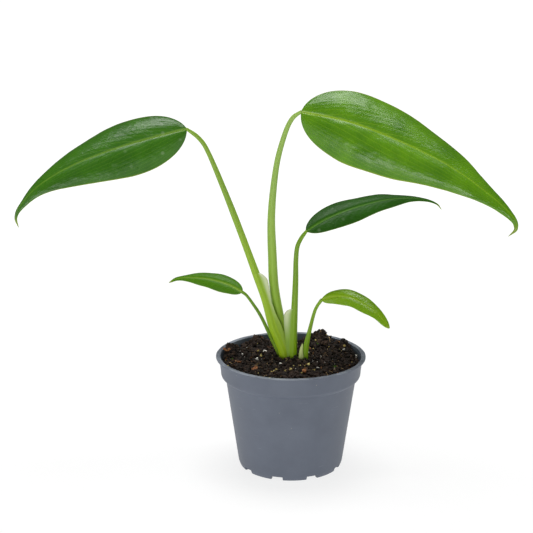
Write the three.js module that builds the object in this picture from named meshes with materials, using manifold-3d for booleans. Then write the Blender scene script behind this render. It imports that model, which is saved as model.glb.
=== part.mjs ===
// Young monstera in a round nursery pot.
// Millimetres, +Z up. The origin is the centre of the pot's base on the surface it stands on,
// and -Y is the side from which both tall leaves show their upper face.

import * as THREE from 'three';
import { mergeVertices } from 'three/addons/utils/BufferGeometryUtils.js';
import Module from 'manifold-3d';

const wasm = await Module();
wasm.setup();

// ---- Driving dimensions -------------------------------------------------------------------

const GAP = 0.3;

const POT = {
  height: 91.6,
  lipRadius: 60,
  lipDrop: 1.4,
  bandTop: 57.6,
  bandFoot: 56,
  bandFootHeight: 77.5,
  bodyTop: 52.3,
  bodyTopHeight: 73.2,
  bodyFoot: 42.1,
  wall: 1.2,
  footHeight: 3.2,
  footOuter: 40.8,
  footInner: 36.6,
  padRadius: 15,
  floor: 1.4,
  sides: 45,
};

const FEET = { count: 9, gap: 9.6, gapLength: 12, firstAngle: 294 };
const DRAIN = { radius: 3.1, ring: 29, sides: 10 };

const SOIL = { level: 86.4, rings: 8, sides: 30 };

// Heaps and hollows of the soil: centre x, centre y, height, spread.
const HEAPS = [
  [25, 43, 9.0, 10],
  [44, 27, 6.5, 9],
  [-49, 15, 8.0, 9],
  [-26, 40, 6.0, 7],
  [-2, 48, -3.6, 11],
  [-44, 30, -2.5, 8],
  [0, -48, 2.6, 20],
  [33, -36, 2.0, 14],
  [-36, -32, 2.2, 13],
];

const CROWN = { x: -1, y: 5, top: 79.7, bottom: 58, topRadius: 12, bottomRadius: 7, sides: 14 };

// Roots run down and outwards from the crown: angle from +X, reach, lowest height, radius.
const ROOTS = [
  [20, 31, 30, 1.7],
  [85, 27, 20, 1.9],
  [150, 30, 34, 1.6],
  [215, 32, 24, 1.8],
  [280, 33, 32, 1.7],
  [335, 24, 16, 2.0],
];

const STALK = { sides: 8, steps: 18, footCut: 80 };

// Each leaf stalk: its route, and its radius at fractions of the way along it.
const STALKS = {
  middle: {
    route: [
      [1.2, 2, 78], [1.9, 2.6, 105], [2.8, 3.3, 128], [3.6, 4.4, 152],
      [3.8, 5.2, 168], [4.8, 6, 179], [7.8, 7, 186], [12, 8, 192],
    ],
    at: [0, 0.2, 0.42, 0.79, 1],
    radius: [4.6, 4.1, 2.7, 1.95, 1.6],
  },
  tall_left: {
    route: [
      [-4.5, 3.5, 78], [-5.7, 3.4, 92], [-11, 3.5, 106], [-14.6, 3.5, 115], [-20.1, 3.2, 136],
      [-26.3, 3, 154], [-40, 2, 193], [-53, 1, 228], [-65, 0, 257.5], [-72, 0, 268], [-81, 0, 275],
    ],
    at: [0, 0.25, 0.45, 0.7, 0.88, 1],
    radius: [4.3, 3.5, 2.9, 2.4, 1.8, 1.6],
  },
  tall_right: {
    route: [
      [-1.5, 11, 78], [-3.2, 11, 95], [-8.8, 10.2, 117.5], [-13.4, 9.6, 145.5], [-14.8, 9, 170],
      [-15.6, 8, 205], [-12, 6, 243], [-6, 4, 268], [0, 3, 282], [7, 2, 288],
    ],
    at: [0, 0.18, 0.31, 0.43, 0.75, 1],
    radius: [4.5, 4.1, 3.8, 3.6, 2.4, 1.9],
  },
  small_right: {
    route: [[10.7, 1, 78], [12, 0, 97], [14.4, -1, 110], [17.5, -2, 124], [20, -3, 132], [24, -4, 139]],
    at: [0, 0.3, 0.6, 1],
    radius: [3, 2.4, 1.5, 1.2],
  },
  small_left: {
    route: [
      [-7.6, 10, 78], [-9.2, 10.2, 88], [-15.6, 11.3, 102], [-24, 12.5, 120],
      [-31, 13.3, 131], [-35.5, 14, 137], [-39, 14, 140],
    ],
    at: [0, 0.4, 1],
    radius: [1.7, 1.5, 1.1],
  },
};

const BLADE = { steps: 20, cells: 3, thickness: 0.9, rise: 8, stem: 1.2, tip: 0.8, start: 1.4 };

// Each leaf blade: its midrib, and the way its face looks at the base and at the tip (tilt from
// straight up towards -Y, then turn towards +X). The rest is given for the two halves: half-width
// and how far each half arches down, and the two powers that shape the outline.
const BLADES = {
  tall_right: {
    midrib: [
      [7, 2, 288], [44, -8, 282], [82, -18, 269], [119, -29, 252],
      [147, -38, 233], [165, -44, 217], [168.5, -46, 208], [163, -45, 201],
    ],
    face: [[66, 4], [38, 24]],
    half: [33, 32],
    fall: [58, 40],
    shape: [0.56, 1.45],
  },
  tall_left: {
    midrib: [
      [-81, 0, 275], [-109, -6, 269], [-139, -13, 261], [-169, -20, 250],
      [-193, -26, 236], [-207, -29, 221], [-211, -30, 212], [-209, -29, 204],
    ],
    face: [[66, 0], [52, -42]],
    half: [26, 26],
    fall: [55, 55],
    shape: [0.6, 1.55],
  },
  middle: {
    midrib: [
      [12, 8, 192], [27, 14, 200], [47, 24, 206], [72, 36, 210],
      [93, 46, 210], [110, 53, 207], [120, 57, 202.5], [124, 58, 197.5],
    ],
    face: [[35, 0], [25, 8]],
    half: [13, 14],
    fall: [36, 34],
    shape: [0.6, 1.6],
  },
  small_left: {
    midrib: [[-39, 14, 140], [-50, 18, 145], [-65, 23, 148], [-80, 28, 148], [-92, 32, 146], [-99, 34, 142]],
    face: [[42, 8], [42, -8]],
    half: [9, 8.5],
    fall: [38, 38],
    shape: [0.54, 1.35],
  },
  small_right: {
    midrib: [[24, -4, 139], [34, -9, 143], [46, -15, 144], [57, -21, 140], [67, -27, 134], [76, -32, 124]],
    face: [[44, 0], [44, 25]],
    half: [7.5, 8.5],
    fall: [42, 30],
    shape: [0.5, 0.75],
  },
};

const SHOOT = {
  route: [[8.2, -3, 81], [8.2, -3, 90], [8.3, -3, 96], [9.2, -3, 102]],
  at: [0, 0.45, 0.8, 1],
  radius: [1.6, 2.1, 1.3, 0.3],
};

// Loose bits on the soil: centre x, centre y, size.
const PERLITE = [
  [-21, 19, 1.7], [-39, 9, 1.2], [-27, 1, 1.4], [-8, -13, 1.4], [-4, -24, 1.3], [-19, -10, 1.2],
  [43, 18, 1.4], [53, 9, 1.3], [26, -8, 1.5], [18, 5, 1.3], [-35, 31, 1.0], [21, -23, 1.2],
];
const BARK = [
  [-51, 9, 7, 35], [-43, -8, 8, -20], [-29, -30, 7, 15], [-17, 29, 6, 60], [10, -34, 6, -40],
];
const MOSS = [[-47, -1, 2.2], [34, -21, 2.4], [23, 32, 2.0]];

// ---- Solids and meshes --------------------------------------------------------------------

/** Turns a three.js geometry into a solid that can be cut. */
function solidOf(geometry) {
  const plain = geometry.clone();
  plain.deleteAttribute('normal');
  plain.deleteAttribute('uv');
  const merged = mergeVertices(plain, 1e-4);
  return new wasm.Manifold(new wasm.Mesh({
    numProp: 3,
    vertProperties: new Float32Array(merged.attributes.position.array),
    triVerts: new Uint32Array(merged.index.array),
  }));
}

/** Turns a cut solid back into a three.js geometry. */
function geometryOf(solid) {
  const mesh = solid.getMesh();
  const geometry = new THREE.BufferGeometry();
  geometry.setAttribute('position', new THREE.BufferAttribute(mesh.vertProperties, 3));
  geometry.setIndex(new THREE.BufferAttribute(mesh.triVerts, 1));
  geometry.computeVertexNormals();
  return geometry;
}

/** Takes every cutter away from a solid. */
function cut(solid, cutters) {
  return cutters.reduce((rest, cutter) => rest.subtract(cutter), solid);
}

/** Closed skin over rings of equally many points, with a flat end across the first and last. */
function skin(rings) {
  const count = rings[0].length;
  const faces = [];
  const quad = (a, b, c, d) => faces.push(a, b, c, a, c, d);
  for (let row = 0; row + 1 < rings.length; row += 1) {
    for (let k = 0; k < count; k += 1) {
      const here = row * count + k;
      const next = row * count + ((k + 1) % count);
      quad(here, next, next + count, here + count);
    }
  }
  const last = (rings.length - 1) * count;
  for (let k = 0; k < count / 2 - 1; k += 1) {
    const far = count - 1 - k;
    quad(far, far - 1, k + 1, k);
    quad(last + k, last + k + 1, last + far - 1, last + far);
  }
  const geometry = new THREE.BufferGeometry().setFromPoints(rings.flat());
  geometry.setIndex(faces);
  geometry.computeVertexNormals();
  return geometry;
}

/** Smooth curve through a list of points. */
function curveOf(points) {
  const knots = points.map((point) => new THREE.Vector3(...point));
  return new THREE.CatmullRomCurve3(knots, false, 'catmullrom', 0.5);
}

/** Value at t on the broken line through (at, values). */
function between(t, at, values) {
  const upper = Math.max(1, at.findIndex((stop) => stop >= t));
  const share = (t - at[upper - 1]) / (at[upper] - at[upper - 1]);
  return THREE.MathUtils.lerp(values[upper - 1], values[upper], share);
}

/** Tapered round stalk along its route, grown outwards by grow. */
function stalk({ route, at, radius }, steps = STALK.steps, sides = STALK.sides, grow = 0) {
  const curve = curveOf(route);
  const rear = new THREE.Vector3(0, 1, 0);
  const rings = [];
  for (let row = 0; row <= steps; row += 1) {
    const t = row / steps;
    const along = curve.getTangentAt(t);
    const right = rear.clone().cross(along).normalize();
    const back = along.clone().cross(right);
    const r = between(t, at, radius) + grow;
    const ring = [];
    for (let k = 0; k < sides; k += 1) {
      const angle = (2 * Math.PI * k) / sides;
      ring.push(curve.getPointAt(t)
        .addScaledVector(right, r * Math.cos(angle))
        .addScaledVector(back, r * Math.sin(angle)));
    }
    rings.push(ring);
  }
  return skin(rings);
}

// ---- Pot ----------------------------------------------------------------------------------

/** Outline of the pot's wall and floor, from the axis below to the axis above the floor. */
function potOutline() {
  const { wall, footHeight, floor, padRadius } = POT;
  const lipFoot = POT.height - POT.lipDrop;
  const outline = [
    [0, 0],
    [padRadius, 0],
    [padRadius + 2, footHeight],
    [POT.footInner, footHeight],
    [POT.footInner + 0.6, 0],
    [POT.footOuter, 0],
    [POT.bodyFoot - 0.5, 1],
    [POT.bodyFoot, footHeight],
    [POT.bodyTop, POT.bodyTopHeight],
    [POT.bodyTop + 1.9, POT.bodyTopHeight + 1.6],
    [POT.bandFoot, POT.bandFootHeight],
    [POT.bandTop, lipFoot],
    [POT.lipRadius - 0.3, lipFoot],
    [POT.lipRadius, lipFoot + 0.5],
    [POT.lipRadius - 0.4, POT.height],
    [POT.bandTop - wall, POT.height],
    [POT.bandFoot - wall, POT.bandFootHeight],
    [POT.bodyTop - wall + 1.2, POT.bodyTopHeight + 2],
    [POT.bodyTop - wall, POT.bodyTopHeight],
    [POT.bodyFoot - wall, footHeight + floor],
    [padRadius + 1, footHeight + floor],
    [padRadius - 1, floor],
    [0, floor],
  ];
  return outline.map(([r, z]) => new THREE.Vector2(r, z));
}

/** Angles of the gaps between the pot's feet, in radians. */
function gapAngles() {
  const step = 360 / FEET.count;
  const turns = Array.from({ length: FEET.count }, (_, k) => FEET.firstAngle + step * k);
  return turns.map((turn) => THREE.MathUtils.degToRad(turn));
}

/** Turned pot with open gaps between its feet and a round drain hole behind each gap. */
function nurseryPot() {
  const body = new THREE.LatheGeometry(potOutline(), POT.sides).rotateX(Math.PI / 2);
  const cutters = gapAngles().flatMap((angle) => {
    const slot = new THREE.BoxGeometry(FEET.gapLength, FEET.gap, POT.footHeight + 1)
      .translate(POT.footOuter, 0, POT.footHeight / 2 - 0.5)
      .rotateZ(angle);
    const hole = new THREE.CylinderGeometry(DRAIN.radius, DRAIN.radius, 6, DRAIN.sides)
      .rotateX(Math.PI / 2)
      .translate(DRAIN.ring, 0, POT.footHeight)
      .rotateZ(angle);
    return [solidOf(slot), solidOf(hole)];
  });
  return geometryOf(cut(solidOf(body), cutters));
}

// ---- Soil, crown and roots ----------------------------------------------------------------

/** Height of the soil's surface. */
function soilHeight(x, y) {
  const lift = ([cx, cy, rise, spread]) => rise * Math.exp(-((x - cx) ** 2 + (y - cy) ** 2) / spread ** 2);
  return HEAPS.reduce((height, heap) => height + lift(heap), SOIL.level);
}

/** Radius of the soil's side at a height: the pot's inner wall less a small gap. */
function soilRadius(z) {
  const inner = POT.wall + GAP;
  const heights = [POT.footHeight, POT.bodyTopHeight, POT.bodyTopHeight + 2, POT.bandFootHeight, POT.height];
  const radii = [POT.bodyFoot, POT.bodyTop, POT.bodyTop + 1.2, POT.bandFoot, POT.bandTop];
  return between(Math.min(z, POT.height), heights, radii) - inner;
}

/** Filled pot of soil: stacked side rings under a heaped top. */
function soilBody() {
  const bottom = POT.footHeight + POT.floor + GAP;
  const levels = [bottom, POT.height / 2, POT.bodyTopHeight, POT.bodyTopHeight + 2, POT.bandFootHeight];
  const ringAt = (radius, height) => Array.from({ length: SOIL.sides }, (_, k) => {
    const angle = (2 * Math.PI * k) / SOIL.sides;
    const x = radius * Math.cos(angle);
    const y = radius * Math.sin(angle);
    return new THREE.Vector3(x, y, height ?? soilHeight(x, y));
  });
  const sides = levels.map((z) => ringAt(soilRadius(z), z));
  const edge = soilRadius(SOIL.level);
  const top = Array.from({ length: SOIL.rings }, (_, k) => ringAt(edge * (1 - k / SOIL.rings)));
  return skin([...sides, ...top]);
}

/** One root from the crown outwards and down. */
function root([turn, reach, depth, radius], grow = 0) {
  const angle = THREE.MathUtils.degToRad(turn);
  const point = (share, z) => [
    CROWN.x + reach * share * Math.cos(angle),
    CROWN.y + reach * share * Math.sin(angle),
    z,
  ];
  const route = [
    point(0.12, CROWN.bottom + 5),
    point(0.5, CROWN.bottom - 3),
    point(0.85, depth + 12),
    point(1, depth),
  ];
  return stalk({ route, at: [0, 1], radius: [radius, radius * 0.5] }, 6, 6, grow);
}

/** Short underground stem with its main roots, grown outwards by grow. */
function crownSolid(grow = 0) {
  const height = CROWN.top - CROWN.bottom + 2 * grow;
  const [topRadius, bottomRadius] = [CROWN.topRadius + grow, CROWN.bottomRadius + grow];
  const stem = new THREE.CylinderGeometry(topRadius, bottomRadius, height, CROWN.sides)
    .rotateX(Math.PI / 2)
    .translate(CROWN.x, CROWN.y, (CROWN.top + CROWN.bottom) / 2);
  return ROOTS.reduce((whole, row) => whole.add(solidOf(root(row, grow))), solidOf(stem));
}

// ---- Leaf stalks --------------------------------------------------------------------------

/** Everything below the stalks' feet, as a cutter. */
function belowFeet() {
  return solidOf(new THREE.BoxGeometry(80, 80, 20).translate(0, 0, STALK.footCut - 10));
}

/** All leaf stalks; where two would touch, the later one is hollowed round the earlier. */
function leafStalks() {
  const made = {};
  const taken = [];
  for (const [name, size] of Object.entries(STALKS)) {
    made[name] = cut(solidOf(stalk(size)), [belowFeet(), ...taken]);
    taken.push(solidOf(stalk(size, STALK.steps, STALK.sides, GAP)));
  }
  return { made, taken };
}

// ---- Leaf blades --------------------------------------------------------------------------

/** Unit vector tilted from straight up towards -Y, then turned towards +X. */
function facing([tilt, turn]) {
  const a = THREE.MathUtils.degToRad(tilt);
  const b = THREE.MathUtils.degToRad(turn);
  return new THREE.Vector3(Math.sin(a) * Math.sin(b), -Math.sin(a) * Math.cos(b), Math.cos(a));
}

/** Share of the full half-width at t along the blade. */
function outlineShare(t, [p, q]) {
  const peak = p / (p + q);
  return (t ** p * (1 - t) ** q) / (peak ** p * (1 - peak) ** q);
}

/** Places across one half: distance out from the midrib and height, both per unit half-width. */
function halfSection(u, fall) {
  const start = THREE.MathUtils.degToRad(BLADE.rise);
  const end = -THREE.MathUtils.degToRad(fall);
  const angle = start + (end - start) * u;
  return [
    (Math.sin(angle) - Math.sin(start)) / (end - start),
    (Math.cos(start) - Math.cos(angle)) / (end - start),
  ];
}

/** Thin arched leaf blade lofted along its midrib. */
function blade({ midrib, face, half, fall, shape }) {
  const curve = curveOf(midrib);
  const start = BLADE.start / curve.getLength();
  const rings = [];
  for (let row = 0; row <= BLADE.steps; row += 1) {
    const t = row / BLADE.steps;
    const place = THREE.MathUtils.lerp(start, 1, t);
    const along = curve.getTangentAt(place);
    const look = facing(face[0]).lerp(facing(face[1]), place).normalize();
    const up = look.addScaledVector(along, -look.dot(along)).normalize();
    const right = up.clone().cross(along);
    const least = t < 0.5 ? BLADE.stem : BLADE.tip;
    const across = [];
    for (let k = -BLADE.cells; k <= BLADE.cells; k += 1) {
      const side = k < 0 ? 0 : 1;
      const width = Math.max(half[side] * outlineShare(place, shape), least);
      const [out, rise] = halfSection(Math.abs(k) / BLADE.cells, fall[side]);
      across.push(curve.getPointAt(place)
        .addScaledVector(right, (side ? 1 : -1) * width * out)
        .addScaledVector(up, width * rise));
    }
    const lift = up.clone().multiplyScalar(BLADE.thickness / 2);
    const lower = across.map((point) => point.clone().sub(lift));
    const upper = across.map((point) => point.clone().add(lift)).reverse();
    rings.push([...lower, ...upper]);
  }
  return skin(rings);
}

// ---- Loose bits on the soil ---------------------------------------------------------------

/** Lump half sunk in the soil: a flattened twenty-sided grain. */
function grain([x, y, size], grow = 0, flat = 0.75) {
  return new THREE.IcosahedronGeometry(size + grow, 0)
    .scale(1, 0.85, flat)
    .rotateZ(x + y)
    .translate(x, y, soilHeight(x, y) + size * 0.35);
}

/** Flat chip of bark lying on the soil. */
function chip([x, y, length, turn], grow = 0) {
  return new THREE.BoxGeometry(length + 2 * grow, length * 0.5 + 2 * grow, 1.6 + 2 * grow)
    .rotateX(0.2)
    .rotateZ(THREE.MathUtils.degToRad(turn))
    .translate(x, y, soilHeight(x, y) + 0.5);
}

// ---- Assembly -----------------------------------------------------------------------------

const FINISH = {
  pot: { color: 0x646b78, roughness: 0.55, metalness: 0 },
  soil: { color: 0x2b1e18, roughness: 0.95, metalness: 0 },
  root: { color: 0xd8cba6, roughness: 0.7, metalness: 0 },
  stalk: { color: 0x8db63c, roughness: 0.45, metalness: 0 },
  blade: { color: 0x3c8a1e, roughness: 0.3, metalness: 0 },
  young: { color: 0x86b52c, roughness: 0.35, metalness: 0 },
  perlite: { color: 0xe9e6df, roughness: 0.9, metalness: 0 },
  bark: { color: 0x9a6238, roughness: 0.9, metalness: 0 },
  moss: { color: 0x4a6a2a, roughness: 0.95, metalness: 0 },
};

const plant = new THREE.Group();

/** Adds one named piece with its own material. */
function add(name, geometry, finish) {
  const mesh = new THREE.Mesh(geometry, new THREE.MeshStandardMaterial(FINISH[finish]));
  mesh.name = name;
  plant.add(mesh);
}

/** Adds one piece for each row of a list, numbered from 01. */
function addEach(name, rows, make, finish) {
  rows.forEach((row, k) => add(`${name}_${String(k + 1).padStart(2, '0')}`, make(row), finish));
}

const stalks = leafStalks();
const moss = (row, grow = 0) => grain(row, grow, 0.5);
const sockets = [
  ...PERLITE.map((row) => grain(row, GAP)),
  ...BARK.map((row) => chip(row, GAP)),
  ...MOSS.map((row) => moss(row, GAP)),
  stalk(SHOOT, 8, 8, GAP),
];

add('nursery_pot', nurseryPot(), 'pot');
const soilCutters = [crownSolid(GAP), ...stalks.taken, ...sockets.map(solidOf)];
add('potting_soil', geometryOf(cut(solidOf(soilBody()), soilCutters)), 'soil');
add('root_crown', geometryOf(crownSolid()), 'root');
for (const [name, solid] of Object.entries(stalks.made)) {
  add(`leaf_stalk_${name}`, geometryOf(solid), 'stalk');
}
for (const [name, size] of Object.entries(BLADES)) {
  add(`leaf_blade_${name}`, blade(size), name === 'small_right' ? 'young' : 'blade');
}
add('new_shoot', geometryOf(cut(solidOf(stalk(SHOOT, 8, 8)), stalks.taken)), 'young');
addEach('perlite', PERLITE, (row) => grain(row), 'perlite');
addEach('bark_chip', BARK, (row) => chip(row), 'bark');
addEach('moss', MOSS, (row) => moss(row), 'moss');

export default plant;
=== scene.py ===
"""Young monstera in a round grey nursery pot.

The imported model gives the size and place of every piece. This file makes what the eye sees of
them: thin glossy leaf blades with sunken midribs, fleshy stalks with membranous sheaths, a moulded
pot and crumbly potting soil. Shapes are worked out in millimetres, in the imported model's frame
(+Z up, origin at the centre of the pot's base), and every random choice is seeded.
"""

from __future__ import annotations

import logging
import math
from dataclasses import dataclass, field
from enum import Enum
from typing import Sequence

import bmesh
import bpy
import numpy as np
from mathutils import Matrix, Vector, noise

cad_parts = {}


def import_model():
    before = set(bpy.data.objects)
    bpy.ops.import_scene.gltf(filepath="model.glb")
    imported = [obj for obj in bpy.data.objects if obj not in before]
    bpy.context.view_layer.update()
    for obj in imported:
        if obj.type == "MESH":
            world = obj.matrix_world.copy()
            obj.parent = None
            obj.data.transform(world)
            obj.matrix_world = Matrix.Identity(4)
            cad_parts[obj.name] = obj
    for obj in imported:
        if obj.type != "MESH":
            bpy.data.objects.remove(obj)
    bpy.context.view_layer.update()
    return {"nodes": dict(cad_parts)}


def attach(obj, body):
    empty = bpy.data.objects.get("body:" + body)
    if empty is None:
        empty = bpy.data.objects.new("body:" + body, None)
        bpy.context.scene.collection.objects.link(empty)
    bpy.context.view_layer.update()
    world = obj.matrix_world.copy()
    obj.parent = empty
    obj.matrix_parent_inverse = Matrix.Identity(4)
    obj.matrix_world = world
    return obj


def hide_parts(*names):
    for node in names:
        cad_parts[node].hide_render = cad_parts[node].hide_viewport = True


LOG = logging.getLogger("monstera")
MM = 0.001

Point = tuple[float, float, float]
Pair = tuple[float, float]
Tree = bpy.types.NodeTree
Socket = bpy.types.NodeSocket


# ---- Shared helpers -----------------------------------------------------------------------


def linear(colour: str) -> tuple[float, float, float, float]:
    """Turns an sRGB hex colour into linear red, green, blue and alpha.

    Args:
        colour: six hex digits after a hash.

    Returns:
        The linear colour with alpha 1.
    """
    parts = [int(colour[k : k + 2], 16) / 255 for k in (1, 3, 5)]
    light = [c / 12.92 if c <= 0.04045 else ((c + 0.055) / 1.055) ** 2.4 for c in parts]
    return (light[0], light[1], light[2], 1.0)


def add_node(tree: Tree, kind: str, inputs: dict | None = None, **settings: object) -> bpy.types.Node:
    """Adds one shader node.

    Args:
        tree: the node tree that takes the node.
        kind: the node's type, without its "ShaderNode" prefix.
        inputs: input name or number to a socket, which is linked, or to a plain value.
        settings: attributes of the node itself.

    Returns:
        The new node.
    """
    node = tree.nodes.new("ShaderNode" + kind)
    for key, value in settings.items():
        setattr(node, key, value)
    for key, value in (inputs or {}).items():
        if isinstance(value, Socket):
            tree.links.new(value, node.inputs[key])
        else:
            node.inputs[key].default_value = value
    return node


def unit(vectors: np.ndarray) -> np.ndarray:
    """Vectors along the last axis, made one long."""
    return vectors / np.maximum(np.linalg.norm(vectors, axis=-1, keepdims=True), 1e-12)


def facing(tilt: float, turn: float) -> np.ndarray:
    """Unit vector tilted from straight up towards -Y and then turned towards +X, in degrees."""
    a, b = math.radians(tilt), math.radians(turn)
    return np.array([math.sin(a) * math.sin(b), -math.sin(a) * math.cos(b), math.cos(a)])


def smooth_step(low: float, high: float, value: np.ndarray) -> np.ndarray:
    """Rises smoothly from 0 at low to 1 at high."""
    x = np.clip((value - low) / (high - low), 0, 1)
    return x * x * (3 - 2 * x)


def spline(points: Sequence[Point], t: np.ndarray) -> np.ndarray:
    """Uniform Catmull-Rom curve.

    Args:
        points: the places that the curve passes through.
        t: places along it, from 0 to 1.

    Returns:
        One row of x, y, z for each t.
    """
    knots = np.array(points, float)
    knots = np.vstack([2 * knots[0] - knots[1], knots, 2 * knots[-1] - knots[-2]])
    place = np.clip(t, 0, 1) * (len(points) - 1)
    first = np.minimum(place.astype(int), len(points) - 2)
    w = (place - first)[:, None]
    a, b, c, d = (knots[first + k] for k in range(4))
    return 0.5 * (2 * b + (c - a) * w + (2 * a - 5 * b + 4 * c - d) * w**2 + (3 * b - a - 3 * c + d) * w**3)


def even_curve(points: Sequence[Point], steps: int) -> tuple[np.ndarray, np.ndarray, float]:
    """Samples a curve at equal steps of length.

    Args:
        points: the places that the curve passes through.
        steps: number of stretches between samples.

    Returns:
        The samples, their unit tangents and the curve's length.
    """
    fine = spline(points, np.linspace(0, 1, 1201))
    run = np.r_[0, np.cumsum(np.linalg.norm(np.diff(fine, axis=0), axis=1))]
    where = np.linspace(0, run[-1], steps + 1)
    samples = np.stack([np.interp(where, run, fine[:, k]) for k in range(3)], axis=1)
    return samples, unit(np.gradient(samples, axis=0)), float(run[-1])


def grid_faces(rows: int, columns: int, start: int = 0, closed: bool = False) -> list[tuple[int, ...]]:
    """Quads over a grid of points stored row by row.

    Args:
        rows: number of rows of points.
        columns: number of points in a row.
        start: index of the first point.
        closed: whether each row joins its own start.

    Returns:
        The quads, anticlockwise when rows go up and columns go right.
    """
    spans = columns if closed else columns - 1
    faces = []
    for row in range(rows - 1):
        base = start + row * columns
        for k in range(spans):
            after = (k + 1) % columns
            faces.append((base + k, base + after, base + after + columns, base + k + columns))
    return faces


def closed_sheet(rows: int, columns: int) -> list[tuple[int, ...]]:
    """Faces of a thin sheet stored as an upper grid and then a lower grid.

    Args:
        rows: rows of points in each grid.
        columns: points in each row.

    Returns:
        The faces of the closed sheet, facing out when the upper grid's own quads do.
    """
    count = rows * columns
    faces = grid_faces(rows, columns)
    faces += [tuple(reversed(face)) for face in grid_faces(rows, columns, count)]
    for k in range(rows - 1):
        a, b = k * columns, (k + 1) * columns - 1
        faces.append((a, a + columns, a + columns + count, a + count))
        faces.append((b + columns, b, b + count, b + columns + count))
    for k in range(columns - 1):
        end = (rows - 1) * columns + k
        faces.append((k + 1, k, k + count, k + 1 + count))
        faces.append((end, end + 1, end + 1 + count, end + count))
    return faces


def noise_at(places: np.ndarray, size: float, octaves: int = 3) -> np.ndarray:
    """Smooth fractal noise, about -1 to 1, whose largest lumps are size millimetres wide."""
    return np.array([noise.fractal(Vector(p), 1.0, 2.0, octaves) for p in places / size])


# ---- Pieces -------------------------------------------------------------------------------


@dataclass
class Piece:
    """One mesh of the plant, ready to be placed in the frame.

    The points are in millimetres, and stands_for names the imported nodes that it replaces.
    """

    name: str
    points: np.ndarray
    faces: list[tuple[int, ...]]
    finish: bpy.types.Material
    slot: str
    stands_for: tuple[str, ...] = ()
    marks: dict[str, np.ndarray] = field(default_factory=dict)
    sharp_above: float = 60.0

    def place(self) -> bpy.types.Object:
        """Makes the object, dresses it and fixes it to the plant.

        Returns:
            The new object.
        """
        mesh = bpy.data.meshes.new(self.name)
        mesh.from_pydata((self.points * MM).tolist(), [], self.faces)
        for mark, values in self.marks.items():
            layer = mesh.attributes.new(mark, "FLOAT", "POINT")
            layer.data.foreach_set("value", np.asarray(values, np.float32))
        mesh.materials.append(self.finish)
        piece = bpy.data.objects.new(self.name, mesh)
        bpy.context.scene.collection.objects.link(piece)
        soften(mesh, self.sharp_above)
        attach(piece, "root")
        if self.stands_for:
            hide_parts(*self.stands_for)
        LOG.info("%s: %d faces", self.name, len(mesh.polygons))
        return piece


def soften(mesh: bpy.types.Mesh, sharp_above: float) -> None:
    """Shades a mesh smooth, and keeps edges that turn by more than sharp_above degrees crisp."""
    work = bmesh.new()
    work.from_mesh(mesh)
    limit = math.radians(sharp_above)
    for edge in work.edges:
        edge.smooth = edge.calc_face_angle(0.0) < limit
    for face in work.faces:
        face.smooth = True
    work.to_mesh(mesh)
    work.free()


# ---- Finishes -----------------------------------------------------------------------------


@dataclass(frozen=True)
class Finish:
    """A surface finish, with the values that go straight onto its shader."""

    name: str
    roughness: float = 0.5
    ior: float = 1.45
    coat: float = 0.0
    coat_roughness: float = 0.1
    glow: float = 0.0
    glow_depth: Point = (1.0, 1.0, 1.0)

    def make(self) -> bpy.types.Material:
        """Builds the material.

        Returns:
            The new material.
        """
        material = bpy.data.materials.new(self.name)
        material.use_nodes = True
        tree = material.node_tree
        shader = tree.nodes["Principled BSDF"]
        shader.inputs["Roughness"].default_value = self.roughness
        shader.inputs["IOR"].default_value = self.ior
        shader.inputs["Coat Weight"].default_value = self.coat
        shader.inputs["Coat Roughness"].default_value = self.coat_roughness
        shader.inputs["Subsurface Weight"].default_value = self.glow
        shader.inputs["Subsurface Radius"].default_value = self.glow_depth
        shader.inputs["Subsurface Scale"].default_value = MM
        self.paint(tree, shader)
        return material

    def paint(self, tree: Tree, shader: bpy.types.Node) -> None:
        """Adds the nodes for colour, roughness and relief; each finish has its own."""
        raise NotImplementedError


def mark(tree: Tree, name: str) -> Socket:
    """Value of one of the mesh's own marks, as a socket."""
    return add_node(tree, "Attribute", attribute_name=name).outputs["Fac"]


def finish_links(tree: Tree, shader: bpy.types.Node, colour: Socket, relief: Socket, height: float) -> None:
    """Links a colour and a relief to a shader.

    Args:
        tree: the material's nodes.
        shader: the surface shader.
        colour: the colour's socket.
        relief: a height from 0 to 1.
        height: how many metres that 0 to 1 stands for.
    """
    bump = add_node(tree, "Bump", {"Height": relief, "Distance": height, "Strength": 1.0})
    tree.links.new(bump.outputs["Normal"], shader.inputs["Normal"])
    tree.links.new(colour, shader.inputs["Base Color"])


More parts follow.
